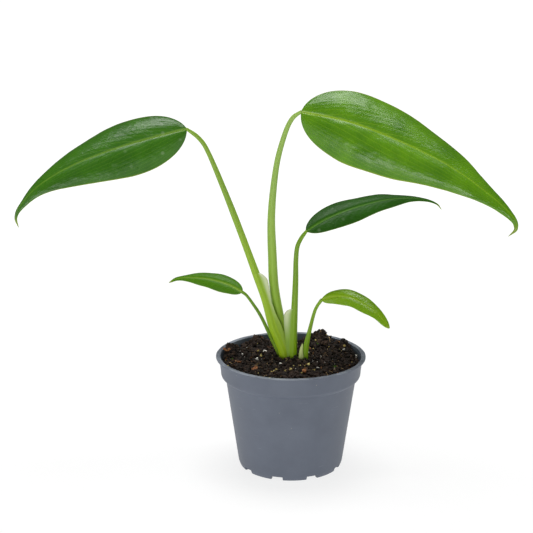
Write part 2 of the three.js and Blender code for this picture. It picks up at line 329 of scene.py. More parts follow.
@dataclass(frozen=True)
class LeafCuticle(Finish):
    """Living leaf under a waxy cuticle.

    The wax gives long soft highlights that fine parallel veins break into streaks, the tissue
    gives a mottled green, and the midrib, side veins and margin show as paler lines.
    """

    deep: str = "#2f7a1c"
    bright: str = "#4f9a24"
    vein: str = "#8fbf4a"
    margin: str = "#a8b850"
    under: str = "#7fae52"
    tip: str = "#8a9a38"
    drop: str = "#c8d8b8"
    spots: float = 0.0

    def paint(self, tree: Tree, shader: bpy.types.Node) -> None:
        """Mottled green, pale veins and margin, and vein relief."""
        along = mark(tree, "along")
        out = mark(tree, "out")
        reach = mark(tree, "reach")
        lateral = mark(tree, "lateral")
        thread = mark(tree, "thread")
        under = mark(tree, "under")
        place = add_node(tree, "TexCoord").outputs["Object"]
        # Patches about 25 mm wide shift the green between deep and bright.
        patches = add_node(tree, "TexNoise", {"Vector": place, "Scale": 40.0, "Detail": 3.0,
                                              "Roughness": 0.55})
        spread = add_node(tree, "MapRange", {"Value": patches.outputs["Fac"], "From Min": 0.25,
                                             "From Max": 0.75})
        green = add_node(tree, "Mix", {0: spread.outputs[0], 6: linear(self.deep), 7: linear(self.bright)},
                         data_type="RGBA")
        # Flesh is a little paler close to the midrib.
        near = add_node(tree, "MapRange", {"Value": reach, "From Min": 9.0, "From Max": 0.5, "To Max": 0.5})
        flesh = add_node(tree, "Mix", {0: near.outputs[0], 6: green.outputs[2], 7: linear(self.bright)},
                         data_type="RGBA")
        # Side veins: lateral counts them, so its distance from a whole number is the way to the next one.
        whole = add_node(tree, "Math", {0: lateral, 1: 0.5}, operation="ADD")
        part = add_node(tree, "Math", {0: whole.outputs[0]}, operation="FRACT")
        off = add_node(tree, "Math", {0: part.outputs[0], 1: 0.5}, operation="SUBTRACT")
        away = add_node(tree, "Math", {0: off.outputs[0]}, operation="ABSOLUTE")
        line = add_node(tree, "MapRange", {"Value": away.outputs[0], "From Min": 0.06, "From Max": 0.0,
                                           "To Max": 0.45}, interpolation_type="SMOOTHSTEP")
        veined = add_node(tree, "Mix", {0: line.outputs[0], 6: flesh.outputs[2], 7: linear(self.vein)},
                          data_type="RGBA")
        # Fine veins 0.8 mm apart leave the midrib at about half a right angle.
        fine = add_node(tree, "Math", {0: thread, 1: math.tau}, operation="MULTIPLY")
        wave = add_node(tree, "Math", {0: fine.outputs[0]}, operation="SINE")
        comb = add_node(tree, "MapRange", {"Value": wave.outputs[0], "From Min": -1.0, "To Max": 0.05})
        combed = add_node(tree, "Mix", {0: comb.outputs[0], 6: veined.outputs[2], 7: linear(self.vein)},
                          data_type="RGBA")
        # Midrib, about 2 mm wide at the base, narrowing and fading towards the tip.
        width = add_node(tree, "MapRange", {"Value": along, "To Min": 1.2, "To Max": 0.4})
        ratio = add_node(tree, "Math", {0: reach, 1: width.outputs[0]}, operation="DIVIDE")
        rib = add_node(tree, "MapRange", {"Value": ratio.outputs[0], "From Min": 1.5, "From Max": 0.2},
                       interpolation_type="SMOOTHSTEP")
        fade = add_node(tree, "MapRange", {"Value": along, "To Min": 0.9, "To Max": 0.3})
        shown = add_node(tree, "Math", {0: rib.outputs[0], 1: fade.outputs[0]}, operation="MULTIPLY")
        ribbed = add_node(tree, "Mix", {0: shown.outputs[0], 6: combed.outputs[2], 7: linear(self.vein)},
                          data_type="RGBA")
        rim = add_node(tree, "MapRange", {"Value": out, "From Min": 0.965, "From Max": 0.995, "To Max": 0.75},
                       interpolation_type="SMOOTHSTEP")
        rimmed = add_node(tree, "Mix", {0: rim.outputs[0], 6: ribbed.outputs[2], 7: linear(self.margin)},
                          data_type="RGBA")
        end = add_node(tree, "MapRange", {"Value": along, "From Min": 0.93, "From Max": 0.985, "To Max": 0.8},
                       interpolation_type="SMOOTHSTEP")
        tipped = add_node(tree, "Mix", {0: end.outputs[0], 6: rimmed.outputs[2], 7: linear(self.tip)},
                          data_type="RGBA")
        # Dried water drops, 2 to 4 mm across, as faint pale spots near the base.
        drops = add_node(tree, "TexVoronoi", {"Vector": place, "Scale": 110.0})
        dot = add_node(tree, "MapRange", {"Value": drops.outputs["Distance"], "From Min": 0.22,
                                          "From Max": 0.08, "To Max": self.spots},
                       interpolation_type="SMOOTHSTEP")
        upto = add_node(tree, "MapRange", {"Value": along, "From Min": 0.5, "From Max": 0.1})
        spot = add_node(tree, "Math", {0: dot.outputs[0], 1: upto.outputs[0]}, operation="MULTIPLY")
        spotted = add_node(tree, "Mix", {0: spot.outputs[0], 6: tipped.outputs[2], 7: linear(self.drop)},
                           data_type="RGBA")
        back = add_node(tree, "Math", {0: under, 1: 0.8}, operation="MULTIPLY")
        colour = add_node(tree, "Mix", {0: back.outputs[0], 6: spotted.outputs[2], 7: linear(self.under)},
                          data_type="RGBA")
        # Streaks about 1 mm wide that run with the fine veins break up the highlights.
        cross = add_node(tree, "Math", {0: out, 1: 2.2}, operation="MULTIPLY")
        flow = add_node(tree, "CombineXYZ", {"X": thread, "Y": cross.outputs[0]})
        streaks = add_node(tree, "TexNoise", {"Vector": flow.outputs[0], "Scale": 0.9, "Detail": 4.0})
        ripple = add_node(tree, "TexNoise", {"Vector": place, "Scale": 650.0, "Detail": 2.0})
        rippled = add_node(tree, "Math", {0: ripple.outputs["Fac"], 1: 0.45, 2: streaks.outputs["Fac"]},
                           operation="MULTIPLY_ADD")
        relief = add_node(tree, "Math", {0: wave.outputs[0], 1: 0.10, 2: rippled.outputs[0]},
                          operation="MULTIPLY_ADD")
        finish_links(tree, shader, colour.outputs[2], relief.outputs[0], 0.22 * MM)
        shine = add_node(tree, "MapRange", {"Value": streaks.outputs["Fac"], "From Min": 0.3, "From Max": 0.7,
                                            "To Min": self.roughness - 0.06, "To Max": self.roughness + 0.12})
        tree.links.new(shine.outputs[0], shader.inputs["Roughness"])


@dataclass(frozen=True)
class StalkSkin(Finish):
    """Fleshy leaf stalk.

    Taut skin over wet tissue gives a soft satin sheen and a glow at the edges. The foot is a
    saturated lime green that turns greyer upwards, with fine lengthwise streaks, and the sheath's
    membrane is thin and whitish with a dry brown edge.
    """

    foot: str = "#86aa1c"
    top: str = "#8fae5a"
    shade: str = "#5f8a1e"
    membrane: str = "#cdd8ac"
    dry_edge: str = "#8f8a5a"

    def paint(self, tree: Tree, shader: bpy.types.Node) -> None:
        """Green that changes along the stalk, streaks and the membrane."""
        along = mark(tree, "along")
        around = mark(tree, "around")
        sheath = mark(tree, "sheath")
        edge = mark(tree, "edge")
        climb = add_node(tree, "MapRange", {"Value": along, "From Min": 0.05, "From Max": 0.7})
        green = add_node(tree, "Mix", {0: climb.outputs[0], 6: linear(self.foot), 7: linear(self.top)},
                         data_type="RGBA")
        # Strands under the skin run lengthwise, about 0.6 mm apart round the stalk.
        turn = add_node(tree, "Math", {0: around, 1: math.tau}, operation="MULTIPLY")
        cosine = add_node(tree, "Math", {0: turn.outputs[0]}, operation="COSINE")
        sine = add_node(tree, "Math", {0: turn.outputs[0]}, operation="SINE")
        lengthwise = add_node(tree, "Math", {0: along, 1: 0.9}, operation="MULTIPLY")
        wrap = add_node(tree, "CombineXYZ", {"X": cosine.outputs[0], "Y": sine.outputs[0],
                                             "Z": lengthwise.outputs[0]})
        strands = add_node(tree, "TexNoise", {"Vector": wrap.outputs[0], "Scale": 5.5, "Detail": 3.0})
        dark = add_node(tree, "MapRange", {"Value": strands.outputs["Fac"], "From Min": 0.45,
                                           "From Max": 0.75, "To Max": 0.5})
        streaked = add_node(tree, "Mix", {0: dark.outputs[0], 6: green.outputs[2], 7: linear(self.shade)},
                            data_type="RGBA")
        skin = add_node(tree, "Mix", {0: sheath, 6: streaked.outputs[2], 7: linear(self.membrane)},
                        data_type="RGBA")
        colour = add_node(tree, "Mix", {0: edge, 6: skin.outputs[2], 7: linear(self.dry_edge)},
                          data_type="RGBA")
        finish_links(tree, shader, colour.outputs[2], strands.outputs["Fac"], 0.10 * MM)


@dataclass(frozen=True)
class MouldedPolypropylene(Finish):
    """Injection-moulded polypropylene from recycled stock.

    It gives an even slate grey with a dull satin sheen, faint clouding from the melt, a fine
    orange-peel skin and a few pale scuffs. A patchy pale line along the lip's upper edge is a painted
    highlight; its pair of heights, in millimetres, gives where that painted highlight sets in.
    """

    body: str = "#535a67"
    cloud: str = "#5d6471"
    scuff: str = "#8d939d"
    dust: str = "#a79e90"
    lip_highlight_heights: Pair = (91.0, 91.5)

    def paint(self, tree: Tree, shader: bpy.types.Node) -> None:
        """Clouded grey with scuffs, dust specks, a painted highlight on the lip's edge and a fine skin."""
        place = add_node(tree, "TexCoord").outputs["Object"]
        # Melt clouds are 20 to 30 mm wide.
        clouds = add_node(tree, "TexNoise", {"Vector": place, "Scale": 38.0, "Detail": 5.0, "Roughness": 0.6})
        spread = add_node(tree, "MapRange", {"Value": clouds.outputs["Fac"], "From Min": 0.3,
                                             "From Max": 0.7})
        base = add_node(tree, "Mix", {0: spread.outputs[0], 6: linear(self.body), 7: linear(self.cloud)},
                        data_type="RGBA")
        # Scuffs are thin level strokes, 6 to 10 mm long and half a millimetre high.
        level = add_node(tree, "Mapping", {"Vector": place, "Scale": (90.0, 90.0, 900.0)})
        strokes = add_node(tree, "TexNoise", {"Vector": level.outputs[0], "Scale": 1.0, "Detail": 2.0})
        stroke = add_node(tree, "MapRange", {"Value": strokes.outputs["Fac"], "From Min": 0.70,
                                             "From Max": 0.80, "To Max": 0.45})
        scuffed = add_node(tree, "Mix", {0: stroke.outputs[0], 6: base.outputs[2], 7: linear(self.scuff)},
                           data_type="RGBA")
        # Painted highlight: the lip's upper edge is painted pale, in patches, along its last half millimetre,
        # where it catches the light.
        height = add_node(tree, "SeparateXYZ", {0: place}).outputs["Z"]
        edge = add_node(tree, "MapRange", {"Value": height, "From Min": self.lip_highlight_heights[0] * MM,
                                           "From Max": self.lip_highlight_heights[1] * MM})
        # The painted lip highlight is broken into patches that follow the melt clouds.
        highlight_patches = add_node(tree, "MapRange", {"Value": clouds.outputs["Fac"], "From Min": 0.35, "From Max": 0.6,
                                           "To Min": 0.15, "To Max": 0.85})
        lip_highlight = add_node(tree, "Math", {0: edge.outputs[0], 1: highlight_patches.outputs[0]}, operation="MULTIPLY")
        # Mixes the painted lip highlight in, using the scuff colour.
        lipped = add_node(tree, "Mix", {0: lip_highlight.outputs[0], 6: scuffed.outputs[2], 7: linear(self.scuff)},
                          data_type="RGBA")
        # Grains of dry soil, under 1 mm, cling here and there.
        grains = add_node(tree, "TexVoronoi", {"Vector": place, "Scale": 420.0})
        speck = add_node(tree, "MapRange", {"Value": grains.outputs["Distance"], "From Min": 0.16,
                                            "From Max": 0.06})
        few = add_node(tree, "SeparateColor", {0: grains.outputs["Color"]})
        rare = add_node(tree, "Math", {0: few.outputs[0], 1: 0.985}, operation="GREATER_THAN")
        grit = add_node(tree, "Math", {0: speck.outputs[0], 1: rare.outputs[0]}, operation="MULTIPLY")
        dusty = add_node(tree, "Mix", {0: grit.outputs[0], 6: lipped.outputs[2], 7: linear(self.dust)},
                         data_type="RGBA")
        # Orange peel, lumps about 0.8 mm wide.
        peel = add_node(tree, "TexNoise", {"Vector": place, "Scale": 1200.0, "Detail": 2.0})
        finish_links(tree, shader, dusty.outputs[2], peel.outputs["Fac"], 0.02 * MM)
        shine = add_node(tree, "MapRange", {"Value": clouds.outputs["Fac"], "From Min": 0.3, "From Max": 0.7,
                                            "To Min": self.roughness - 0.05, "To Max": self.roughness + 0.07})
        tree.links.new(shine.outputs[0], shader.inputs["Roughness"])


@dataclass(frozen=True)
class Earth(Finish):
    """Moist peat, bark and other loose matter.

    Damp crumbs give a dark, nearly matt surface whose tone changes from crumb to crumb, with pale
    flecks. grain_scale is the number of grains to the metre, speck_share says how rare the flecks
    are, and height is the depth of the grain in millimetres.
    """

    dark: str = "#0e0907"
    light: str = "#3c291c"
    speck: str = "#7a5c3e"
    speck_share: float = 0.70
    grain_scale: float = 1400.0
    height: float = 0.5

    def paint(self, tree: Tree, shader: bpy.types.Node) -> None:
        """Tone from each crumb's own tint, pale specks and a rough grain."""
        tint = mark(tree, "tint")
        place = add_node(tree, "TexCoord").outputs["Object"]
        grain = add_node(tree, "TexNoise", {"Vector": place, "Scale": self.grain_scale, "Detail": 5.0,
                                            "Roughness": 0.7})
        sum_of = add_node(tree, "Math", {0: grain.outputs["Fac"], 1: 0.8, 2: tint}, operation="MULTIPLY_ADD")
        spread = add_node(tree, "MapRange", {"Value": sum_of.outputs[0], "From Min": 0.35, "From Max": 1.35})
        tone = add_node(tree, "Mix", {0: spread.outputs[0], 6: linear(self.dark), 7: linear(self.light)},
                        data_type="RGBA")
        fleck = add_node(tree, "TexNoise", {"Vector": place, "Scale": self.grain_scale * 0.45, "Detail": 1.0})
        pale = add_node(tree, "MapRange", {"Value": fleck.outputs["Fac"], "From Min": self.speck_share,
                                           "From Max": self.speck_share + 0.08})
        colour = add_node(tree, "Mix", {0: pale.outputs[0], 6: tone.outputs[2], 7: linear(self.speck)},
                          data_type="RGBA")
        finish_links(tree, shader, colour.outputs[2], grain.outputs["Fac"], self.height * MM)


# ---- Leaf blades --------------------------------------------------------------------------


@dataclass
class Blade:
    """One leaf blade, in millimetres and degrees.

    face is how the blade looks at its base and at its tip, as tilt and turn. half and fall are
    given for the two sides of the midrib: half-width, and how far that side arches down. shape is
    the two powers of the outline, and tip_half is the half-width of the drip tip. vein_gap and
    vein_sweep are shares of the blade's length: the distance between side veins, and how far one
    runs forward on its way to the margin. vein_depth, vein_width and vein_scale give the valley
    along a side vein, the last as the half-width of blade that it is drawn for. valley and
    valley_share give the dip along the midrib, the second as a share of the half-width, and
    swell_share is the height of the soft swellings, as a share of it too.
    """

    name: str
    midrib: Sequence[Point]
    face: tuple[Pair, Pair]
    half: Pair
    fall: Pair
    shape: Pair
    finish: LeafCuticle
    slot: str = "blade"
    vein_gap: float = 0.12
    vein_sweep: float = 1.0
    vein_depth: float = 0.22
    vein_width: float = 0.35
    vein_scale: float = 26.0
    thread_gap: float = 1.1
    valley: float = 0.7
    valley_share: float = 0.13
    tip_half: float = 0.8
    wave: float = 1.0
    wave_count: float = 3.3
    swell_share: float = 0.014
    groove: float = 0.55
    keel: float = 1.3
    thickness: float = 0.42
    rise: float = 8.0
    steps: int = 230
    cells: int = 30
    seed: int = 1

    def outline(self, t: np.ndarray) -> np.ndarray:
        """Share of the full half-width at each place along the blade."""
        p, q = self.shape
        peak = p / (p + q)
        # The drip tip rounds off over its last 4% of the length.
        rounded = np.sqrt(np.clip((1 - t) / 0.04, 0, 1))
        hook = self.tip_half / max(self.half) * smooth_step(0.80, 0.95, t) * rounded
        return t**p * (1 - t) ** q / (peak**p * (1 - peak) ** q) + hook

    def section(self, u: np.ndarray, fall: float) -> tuple[np.ndarray, np.ndarray]:
        """Arc that one half follows.

        Args:
            u: places from the midrib, 0, to the margin, 1.
            fall: how far the margin has turned down, in degrees.

        Returns:
            The distance out and the height, per unit of half-width.
        """
        start = math.radians(self.rise)
        bend = -math.radians(fall) - start
        angle = start + bend * u
        return (np.sin(angle) - math.sin(start)) / bend, (math.cos(start) - np.cos(angle)) / bend

    def piece(self) -> Piece:
        """Works out the blade as one thin closed sheet with midrib, veins and wavy margin.

        Returns:
            The blade's piece.
        """
        steps, cells = ((self.steps, self.cells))
        middle, along, length = even_curve(self.midrib, steps)
        t = np.linspace(0, 1, steps + 1)[:, None]
        look = unit(facing(*self.face[0]) * (1 - t) + facing(*self.face[1]) * t)
        up = unit(look - (look * along).sum(1, keepdims=True) * along)
        right = np.cross(up, along)
        u = np.linspace(-1, 1, 2 * cells + 1)[None, :]
        out = np.abs(u)
        side = (u > 0).astype(int)
        least = np.where(t < 0.5, 1.3, 0.75 * np.clip((1 - t) / 0.03, 0.25, 1))
        widths = np.maximum(np.array(self.half)[side] * self.outline(t), least)
        (left_out, left_up), (right_out, right_up) = (self.section(out, fall) for fall in self.fall)
        reach = widths * np.where(u > 0, right_out, left_out)
        height = widths * np.where(u > 0, right_up, left_up)
        lateral = (t - self.vein_sweep * out**1.25) / self.vein_gap + 0.35 * (u > 0)
        thread = (t * length - 0.95 * widths * out) / self.thread_gap
        height = height + self.relief(t, u, out, reach, lateral)
        surface = (
            middle[:, None, :]
            + right[:, None, :] * (np.sign(u) * reach)[..., None]
            + up[:, None, :] * height[..., None]
        )
        thick = self.thickness * (1 - 0.35 * out**2) * np.ones_like(t)
        groove = self.groove * (1 - t) ** 0.7 * np.exp(-((reach / 1.0) ** 2))
        keel = self.keel * (1 - t) ** 0.8 * np.exp(-((reach / 1.2) ** 2))
        top = surface + up[:, None, :] * (thick / 2 - groove)[..., None]
        below = surface - up[:, None, :] * (thick / 2 + keel)[..., None]
        marks = {"along": t, "out": out, "reach": reach, "lateral": lateral, "thread": thread}
        return self.sheet(top, below, marks)

    def relief(self, t: np.ndarray, u: np.ndarray, out: np.ndarray, reach: np.ndarray,
               lateral: np.ndarray) -> np.ndarray:
        """Height of the waves, pillows and streaks over the smooth arched surface.

        Args:
            t: place along the blade.
            u: place across it, from -1 to 1.
            out: distance from the midrib as a share of the half-width.
            reach: the same distance in millimetres.
            lateral: count of side veins passed.

        Returns:
            Heights in millimetres.
        """
        phase = 2 * math.pi * self.wave_count * t + np.where(u > 0, 0.7, 2.9) + self.seed
        margin = self.wave * out**3 * np.sin(phase) * np.sin(math.pi * np.clip(t * 1.05, 0, 1))
        # The halves dip towards the midrib in a wide valley, and each side vein lies in a narrow one.
        wide = self.valley_share * max(self.half)
        dip = self.valley * np.sin(math.pi * t**0.6) * np.exp(-((reach / wide) ** 2))
        off = np.abs(lateral - np.round(lateral)) * self.vein_gap * self.vein_scale
        clear = smooth_step(0.5, 4.0, reach)
        vein = self.vein_depth * np.exp(-((off / self.vein_width) ** 2)) * clear * (1 - out**4)
        places = np.stack(np.broadcast_arrays(t * 9.0, out * 2.6 + (u > 0) * 7, self.seed * 3.1 + 0 * t), -1)
        swell = noise_at(places.reshape(-1, 3), 1.0, 3).reshape(reach.shape)
        return margin - dip - vein + self.swell_share * max(self.half) * swell * smooth_step(0.0, 3.0, reach)

    def sheet(self, top: np.ndarray, below: np.ndarray, values: dict[str, np.ndarray]) -> Piece:
        """Closes the upper and lower surfaces into one sheet with its marks.

        Args:
            top: points of the upper surface, by row and column.
            below: points of the lower surface.
            values: what the finish reads at each row and column, by name.

        Returns:
            The finished piece.
        """
        rows, columns = top.shape[:2]
        count = rows * columns
        marks = {
            name: np.tile(np.broadcast_to(value, (rows, columns)).reshape(-1), 2)
            for name, value in values.items()
        }
        marks["under"] = np.repeat([0.0, 1.0], count)
        return Piece(
            name=self.name,
            points=np.concatenate([top.reshape(-1, 3), below.reshape(-1, 3)]),
            faces=closed_sheet(rows, columns),
            finish=self.finish.make(),
            slot=self.slot,
            stands_for=("leaf_blade_" + self.name.removeprefix("blade_"),),
            marks=marks,
        )


# ---- Leaf stalks --------------------------------------------------------------------------


class Side(Enum):
    """Side of a stalk, along X, on which its sheath's free edge lies."""

    LEFT = -1
    RIGHT = 1


@dataclass
class Sheath:
    """Membrane along the foot of a stalk, in millimetres.

    It runs from the stalk's foot up to a rounded top, whose rounding is cap high. widths are its
    widths at heights, and curl is how far it bends backwards per unit of width. ripple is the
    depth of the free edge's waves, and ripple_step the height that they take per radian.
    """

    side: Side
    heights: Sequence[float]
    widths: Sequence[float]
    top: float
    curl: float = 0.35
    thickness: float = 0.35
    cap: float = 7.0
    ripple: float = 0.18
    ripple_step: float = 4.3


@dataclass
class Stalk:
    """One leaf stalk: its route and its radius at shares of the way along it, in millimetres."""

    name: str
    route: Sequence[Point]
    at: Sequence[float]
    radius: Sequence[float]
    finish: StalkSkin
    sheath: Sheath | None = None
    joint_swell: float = 0.12
    steps: int = 110
    sides: int = 28

    def radii(self, t: np.ndarray) -> np.ndarray:
        """Radius along the stalk, with a slight swelling just below the blade."""
        fine = np.linspace(0, 1, 401)
        raw = np.interp(fine, self.at, self.radius)
        padded = np.pad(raw, 40, mode="reflect", reflect_type="odd")
        soft = np.convolve(padded, np.hanning(81) / np.hanning(81).sum(), mode="same")[40:-40]
        swell = 1 + self.joint_swell * np.exp(-(((t - 0.975) / 0.03) ** 2))
        return np.interp(t, fine, soft) * swell

    def core(self) -> tuple[np.ndarray, list[tuple[int, ...]], dict[str, np.ndarray]]:
        """The stalk's own body: a grooved, tapering round bar with closed ends.

        Returns:
            Points, faces and marks.
        """
        middle, along, _ = even_curve(self.route, self.steps)
        t = np.linspace(0, 1, self.steps + 1)
        right = unit(np.cross(np.array([0.0, 1.0, 0.0]), along))
        back = np.cross(along, right)
        angle = np.linspace(0, 2 * math.pi, self.sides, endpoint=False)
        groove = 1 - 0.07 * np.exp(-(((angle - 0.5 * math.pi) / 0.45) ** 2))
        wobble = 1 + 0.03 * noise_at(middle, 22.0, 2)
        ring = (self.radii(t) * wobble)[:, None] * groove[None, :]
        points = (
            middle[:, None, :]
            + right[:, None, :] * (ring * np.cos(angle))[..., None]
            + back[:, None, :] * (ring * np.sin(angle))[..., None]
        )
        count = points.shape[0] * self.sides
        faces = grid_faces(points.shape[0], self.sides, closed=True)
        faces.append(tuple(range(self.sides - 1, -1, -1)))
        faces.append(tuple(range(count - self.sides, count)))
        marks = {
            "along": np.repeat(t, self.sides),
            "around": np.tile(np.arange(self.sides) / self.sides, self.steps + 1),
            "sheath": np.zeros(count),
            "edge": np.zeros(count),
        }
        return points.reshape(-1, 3), faces, marks

    def membrane(self, sheath: Sheath) -> tuple[np.ndarray, list[tuple[int, ...]], dict[str, np.ndarray]]:
        """The sheath: a thin closed strip that leaves the stalk's front and curls round.

        Args:
            sheath: the sheath's sizes.

        Returns:
            Points, faces and marks.
        """
        rows, columns = 90, 13
        middle, _, _ = even_curve(self.route, 600)
        foot = middle[0, 2]
        # Rows crowd towards the rounded top.
        s = 1 - (1 - np.linspace(0, 1, rows)) ** 1.6
        level = foot + (sheath.top - foot) * s
        where = np.interp(level, middle[:, 2], np.linspace(0, 1, len(middle)))
        centre = np.stack([np.interp(level, middle[:, 2], middle[:, k]) for k in range(3)], axis=1)
        r = self.radii(where)
        past = ((level - (sheath.top - sheath.cap)) / sheath.cap).clip(0, 1)
        cap = np.sqrt(np.clip(1 - past**2, 0, 1))
        width = np.interp(level, sheath.heights, sheath.widths) * cap + 0.05
        q = np.linspace(0, 1, columns)[None, :]
        x = sheath.side.value * (0.5 * r[:, None] + width[:, None] * q)
        y = -0.78 * r[:, None] + sheath.curl * width[:, None] * q**2
        ripple = sheath.ripple * np.sin(level[:, None] / sheath.ripple_step + 1.0) * q**2
        points = centre[:, None, :] + np.stack([x, y + ripple, np.zeros_like(x)], axis=-1)
        thick = sheath.thickness * (1 - 0.6 * q**2) * np.ones_like(x)
        shift = np.stack([np.zeros_like(x), thick / 2, np.zeros_like(x)], axis=-1)
        front, behind = points - shift, points + shift
        faces = closed_sheet(rows, columns)
        if sheath.side is Side.LEFT:
            faces = [tuple(reversed(face)) for face in faces]
        high = smooth_step(0.45, 0.95, s)[:, None]
        veil = smooth_step(0.05, 0.7, q) * (0.10 + 0.90 * high)
        edge = smooth_step(0.92, 1.0, q) * high * 0.7
        marks = {
            "along": np.tile(np.repeat(where, columns), 2),
            "around": np.tile((0.75 + 0.05 * q * np.ones_like(x)).reshape(-1), 2),
            "sheath": np.tile(veil.reshape(-1), 2),
            "edge": np.tile(edge.reshape(-1), 2),
        }
        return np.concatenate([front.reshape(-1, 3), behind.reshape(-1, 3)]), faces, marks

    def piece(self) -> Piece:
        """Joins the stalk's body and sheath in one piece.

        Returns:
            The stalk's piece.
        """
        points, faces, marks = self.core()
        if self.sheath:
            more, extra, more_marks = self.membrane(self.sheath)
            faces = faces + [tuple(i + len(points) for i in face) for face in extra]
            points = np.concatenate([points, more])
            marks = {name: np.concatenate([marks[name], more_marks[name]]) for name in marks}
        return Piece(
            name=self.name,
            points=points,
            faces=faces,
            finish=self.finish.make(),
            slot="stalk",
            stands_for=("leaf_" + self.name,),
            marks=marks,
        )


@dataclass
class Shoot:
    """Pale young bud beside the small right stalk: a rolled, pointed scale."""

    route: Sequence[Point] = ((8.2, -3, 81), (8.2, -3, 90), (8.3, -3, 96), (9.2, -3, 102))
    at: Sequence[float] = (0, 0.45, 0.8, 1)
    radius: Sequence[float] = (1.6, 2.1, 1.3, 0.25)

    def piece(self) -> Piece:
        """Makes the bud as a stalk that narrows to a point.

        Returns:
            The bud's piece.
        """
        finish = StalkSkin("young_bud_skin", roughness=0.45, glow=0.2, foot="#a9bd62", top="#c3cf86",
                           shade="#7f9a3a")
        bud = Stalk("stalk_new_shoot", self.route, self.at, self.radius, finish, steps=50, sides=20)
        made = bud.piece()
        made.name = "young_shoot"
        made.slot = "young_blade"
        made.stands_for = ("new_shoot",)
        return made


# ---- Pot ----------------------------------------------------------------------------------


@dataclass
class NurseryPot:
    """Moulded nursery pot, in millimetres.

    The body widens to a band and then to the lip, and stands on a ring of feet round a base pad.
    nick_places holds the angle, in degrees, and the depth of each nick in the lip's edge, and
    nick_spread is a nick's half-width in radians.
    """

    height: float = 91.6
    lip_radius: float = 60.0
    lip_drop: float = 1.4
    band_top: float = 57.6
    band_foot: float = 56.0
    band_foot_height: float = 77.5
    body_top: float = 52.3
    body_top_height: float = 73.2
    body_foot: float = 42.1
    wall: float = 1.2
    foot_height: float = 3.2
    foot_outer: float = 40.8
    foot_inner: float = 36.6
    pad_radius: float = 15.0
    floor: float = 1.4
    feet: int = 9
    foot_gap: float = 9.6
    first_gap: float = 294.0
    drain_radius: float = 3.1
    drain_ring: float = 29.0
    unevenness: float = 0.10
    nick_places: Sequence[Pair] = (
        (236, 0.3), (251, 0.5), (268, 0.25), (279, 0.45), (288, 0.3), (318, 0.4), (120, 0.4),
    )
    nick_spread: float = 0.012
    sides: int = 216

    def outline(self) -> list[Pair]:
        """Section of the wall and floor with every corner rounded as a mould rounds it.

        Returns:
            Radius and height of each point, from the axis below to the axis above the floor.
        """
        lip_foot = self.height - self.lip_drop
        wall = self.wall
        corners = [
            (self.pad_radius, 0, 0.5),
            (self.pad_radius + 2, self.foot_height, 0.8),
            (self.foot_inner, self.foot_height, 0.6),
            (self.foot_inner + 0.6, 0, 0.4),
            (self.foot_outer, 0, 0.8),
            (self.body_foot, self.foot_height, 2.0),
            (self.body_top, self.body_top_height, 0.5),
            (self.band_foot - 0.1, self.body_top_height + 2.2, 2.4),
            (self.band_foot + 0.25, self.band_foot_height + 3, 4.0),
            (self.band_top, lip_foot, 0.35),
            (self.lip_radius, lip_foot, 0.6),
            (self.lip_radius, self.height, 0.7),
            (self.band_top - wall, self.height, 0.6),
            (self.band_foot - wall, self.band_foot_height, 3.0),
            (self.body_top - wall, self.body_top_height, 2.0),
            (self.body_foot - wall, self.foot_height + self.floor, 1.5),
            (self.pad_radius + 1, self.foot_height + self.floor, 0.6),
            (self.pad_radius - 1, self.floor, 0.6),
        ]
        return [(0.0, 0.0), *self.rounded(corners), (0.0, self.floor)]

    def rounded(self, corners: Sequence[Point], arc: int = 6) -> list[Pair]:
        """Rounds the inner corners of an open outline.

        Args:
            corners: radius, height and rounding of each corner.
            arc: number of points on each rounding.

        Returns:
            The rounded outline.
        """
        knots = [(0.0, 0.0), *[(r, z) for r, z, _ in corners], (0.0, self.floor)]
        made: list[Pair] = []
        for k, (r, z, size) in enumerate(corners, start=1):
            here = np.array([r, z], float)
            before = np.array(knots[k - 1]) - here
            after = np.array(knots[k + 1]) - here
            reach = min(size, 0.45 * np.linalg.norm(before), 0.45 * np.linalg.norm(after))
            start = here + unit(before) * reach
            end = here + unit(after) * reach
            for w in np.linspace(0, 1, arc):
                spot = (1 - w) ** 2 * start + 2 * w * (1 - w) * here + w**2 * end
                made.append((float(spot[0]), float(spot[1])))
        return made

    def turned(self) -> tuple[np.ndarray, list[tuple[int, ...]]]:
        """Turns the outline round the axis, with the lip's slight unevenness.

        Returns:
            Points and faces.
        """
        outline = np.array(self.outline()[1:-1])
        angle = np.linspace(0, 2 * math.pi, self.sides, endpoint=False)
        spokes = np.stack([np.cos(angle), np.sin(angle)], axis=1)
        uneven = noise_at(np.c_[spokes * 6.0, np.zeros(self.sides)], 1.0, 4)
        nicks = self.nicks(angle)
        outer = outline[:, 0] > self.band_top - 0.1
        lip = smooth_step(self.height - 2.0, self.height - 0.6, outline[:, 1]) * outer
        r = outline[:, 0][:, None] + lip[:, None] * (self.unevenness * uneven - nicks)[None, :]
        z = outline[:, 1][:, None] + lip[:, None] * (self.unevenness * uneven - 0.7 * nicks)[None, :]
        points = np.stack([r * spokes[:, 0], r * spokes[:, 1], z], axis=-1).reshape(-1, 3)
        faces = grid_faces(len(outline), self.sides, closed=True)
        centre = len(points)
        points = np.vstack([points, [[0, 0, 0], [0, 0, self.floor]]])
        last = (len(outline) - 1) * self.sides
        for k in range(self.sides):
            after = (k + 1) % self.sides
            faces.append((centre, after, k))
            faces.append((centre + 1, last + k, last + after))
        return points, faces

    def nicks(self, angle: np.ndarray) -> np.ndarray:
        """Depth of the small nicks along the lip's edge at each angle, in millimetres."""
        depth = np.zeros_like(angle)
        for turn, size in self.nick_places:
            gap = np.angle(np.exp(1j * (angle - math.radians(turn))))
            depth += size * np.exp(-((gap / self.nick_spread) ** 2))
        return depth

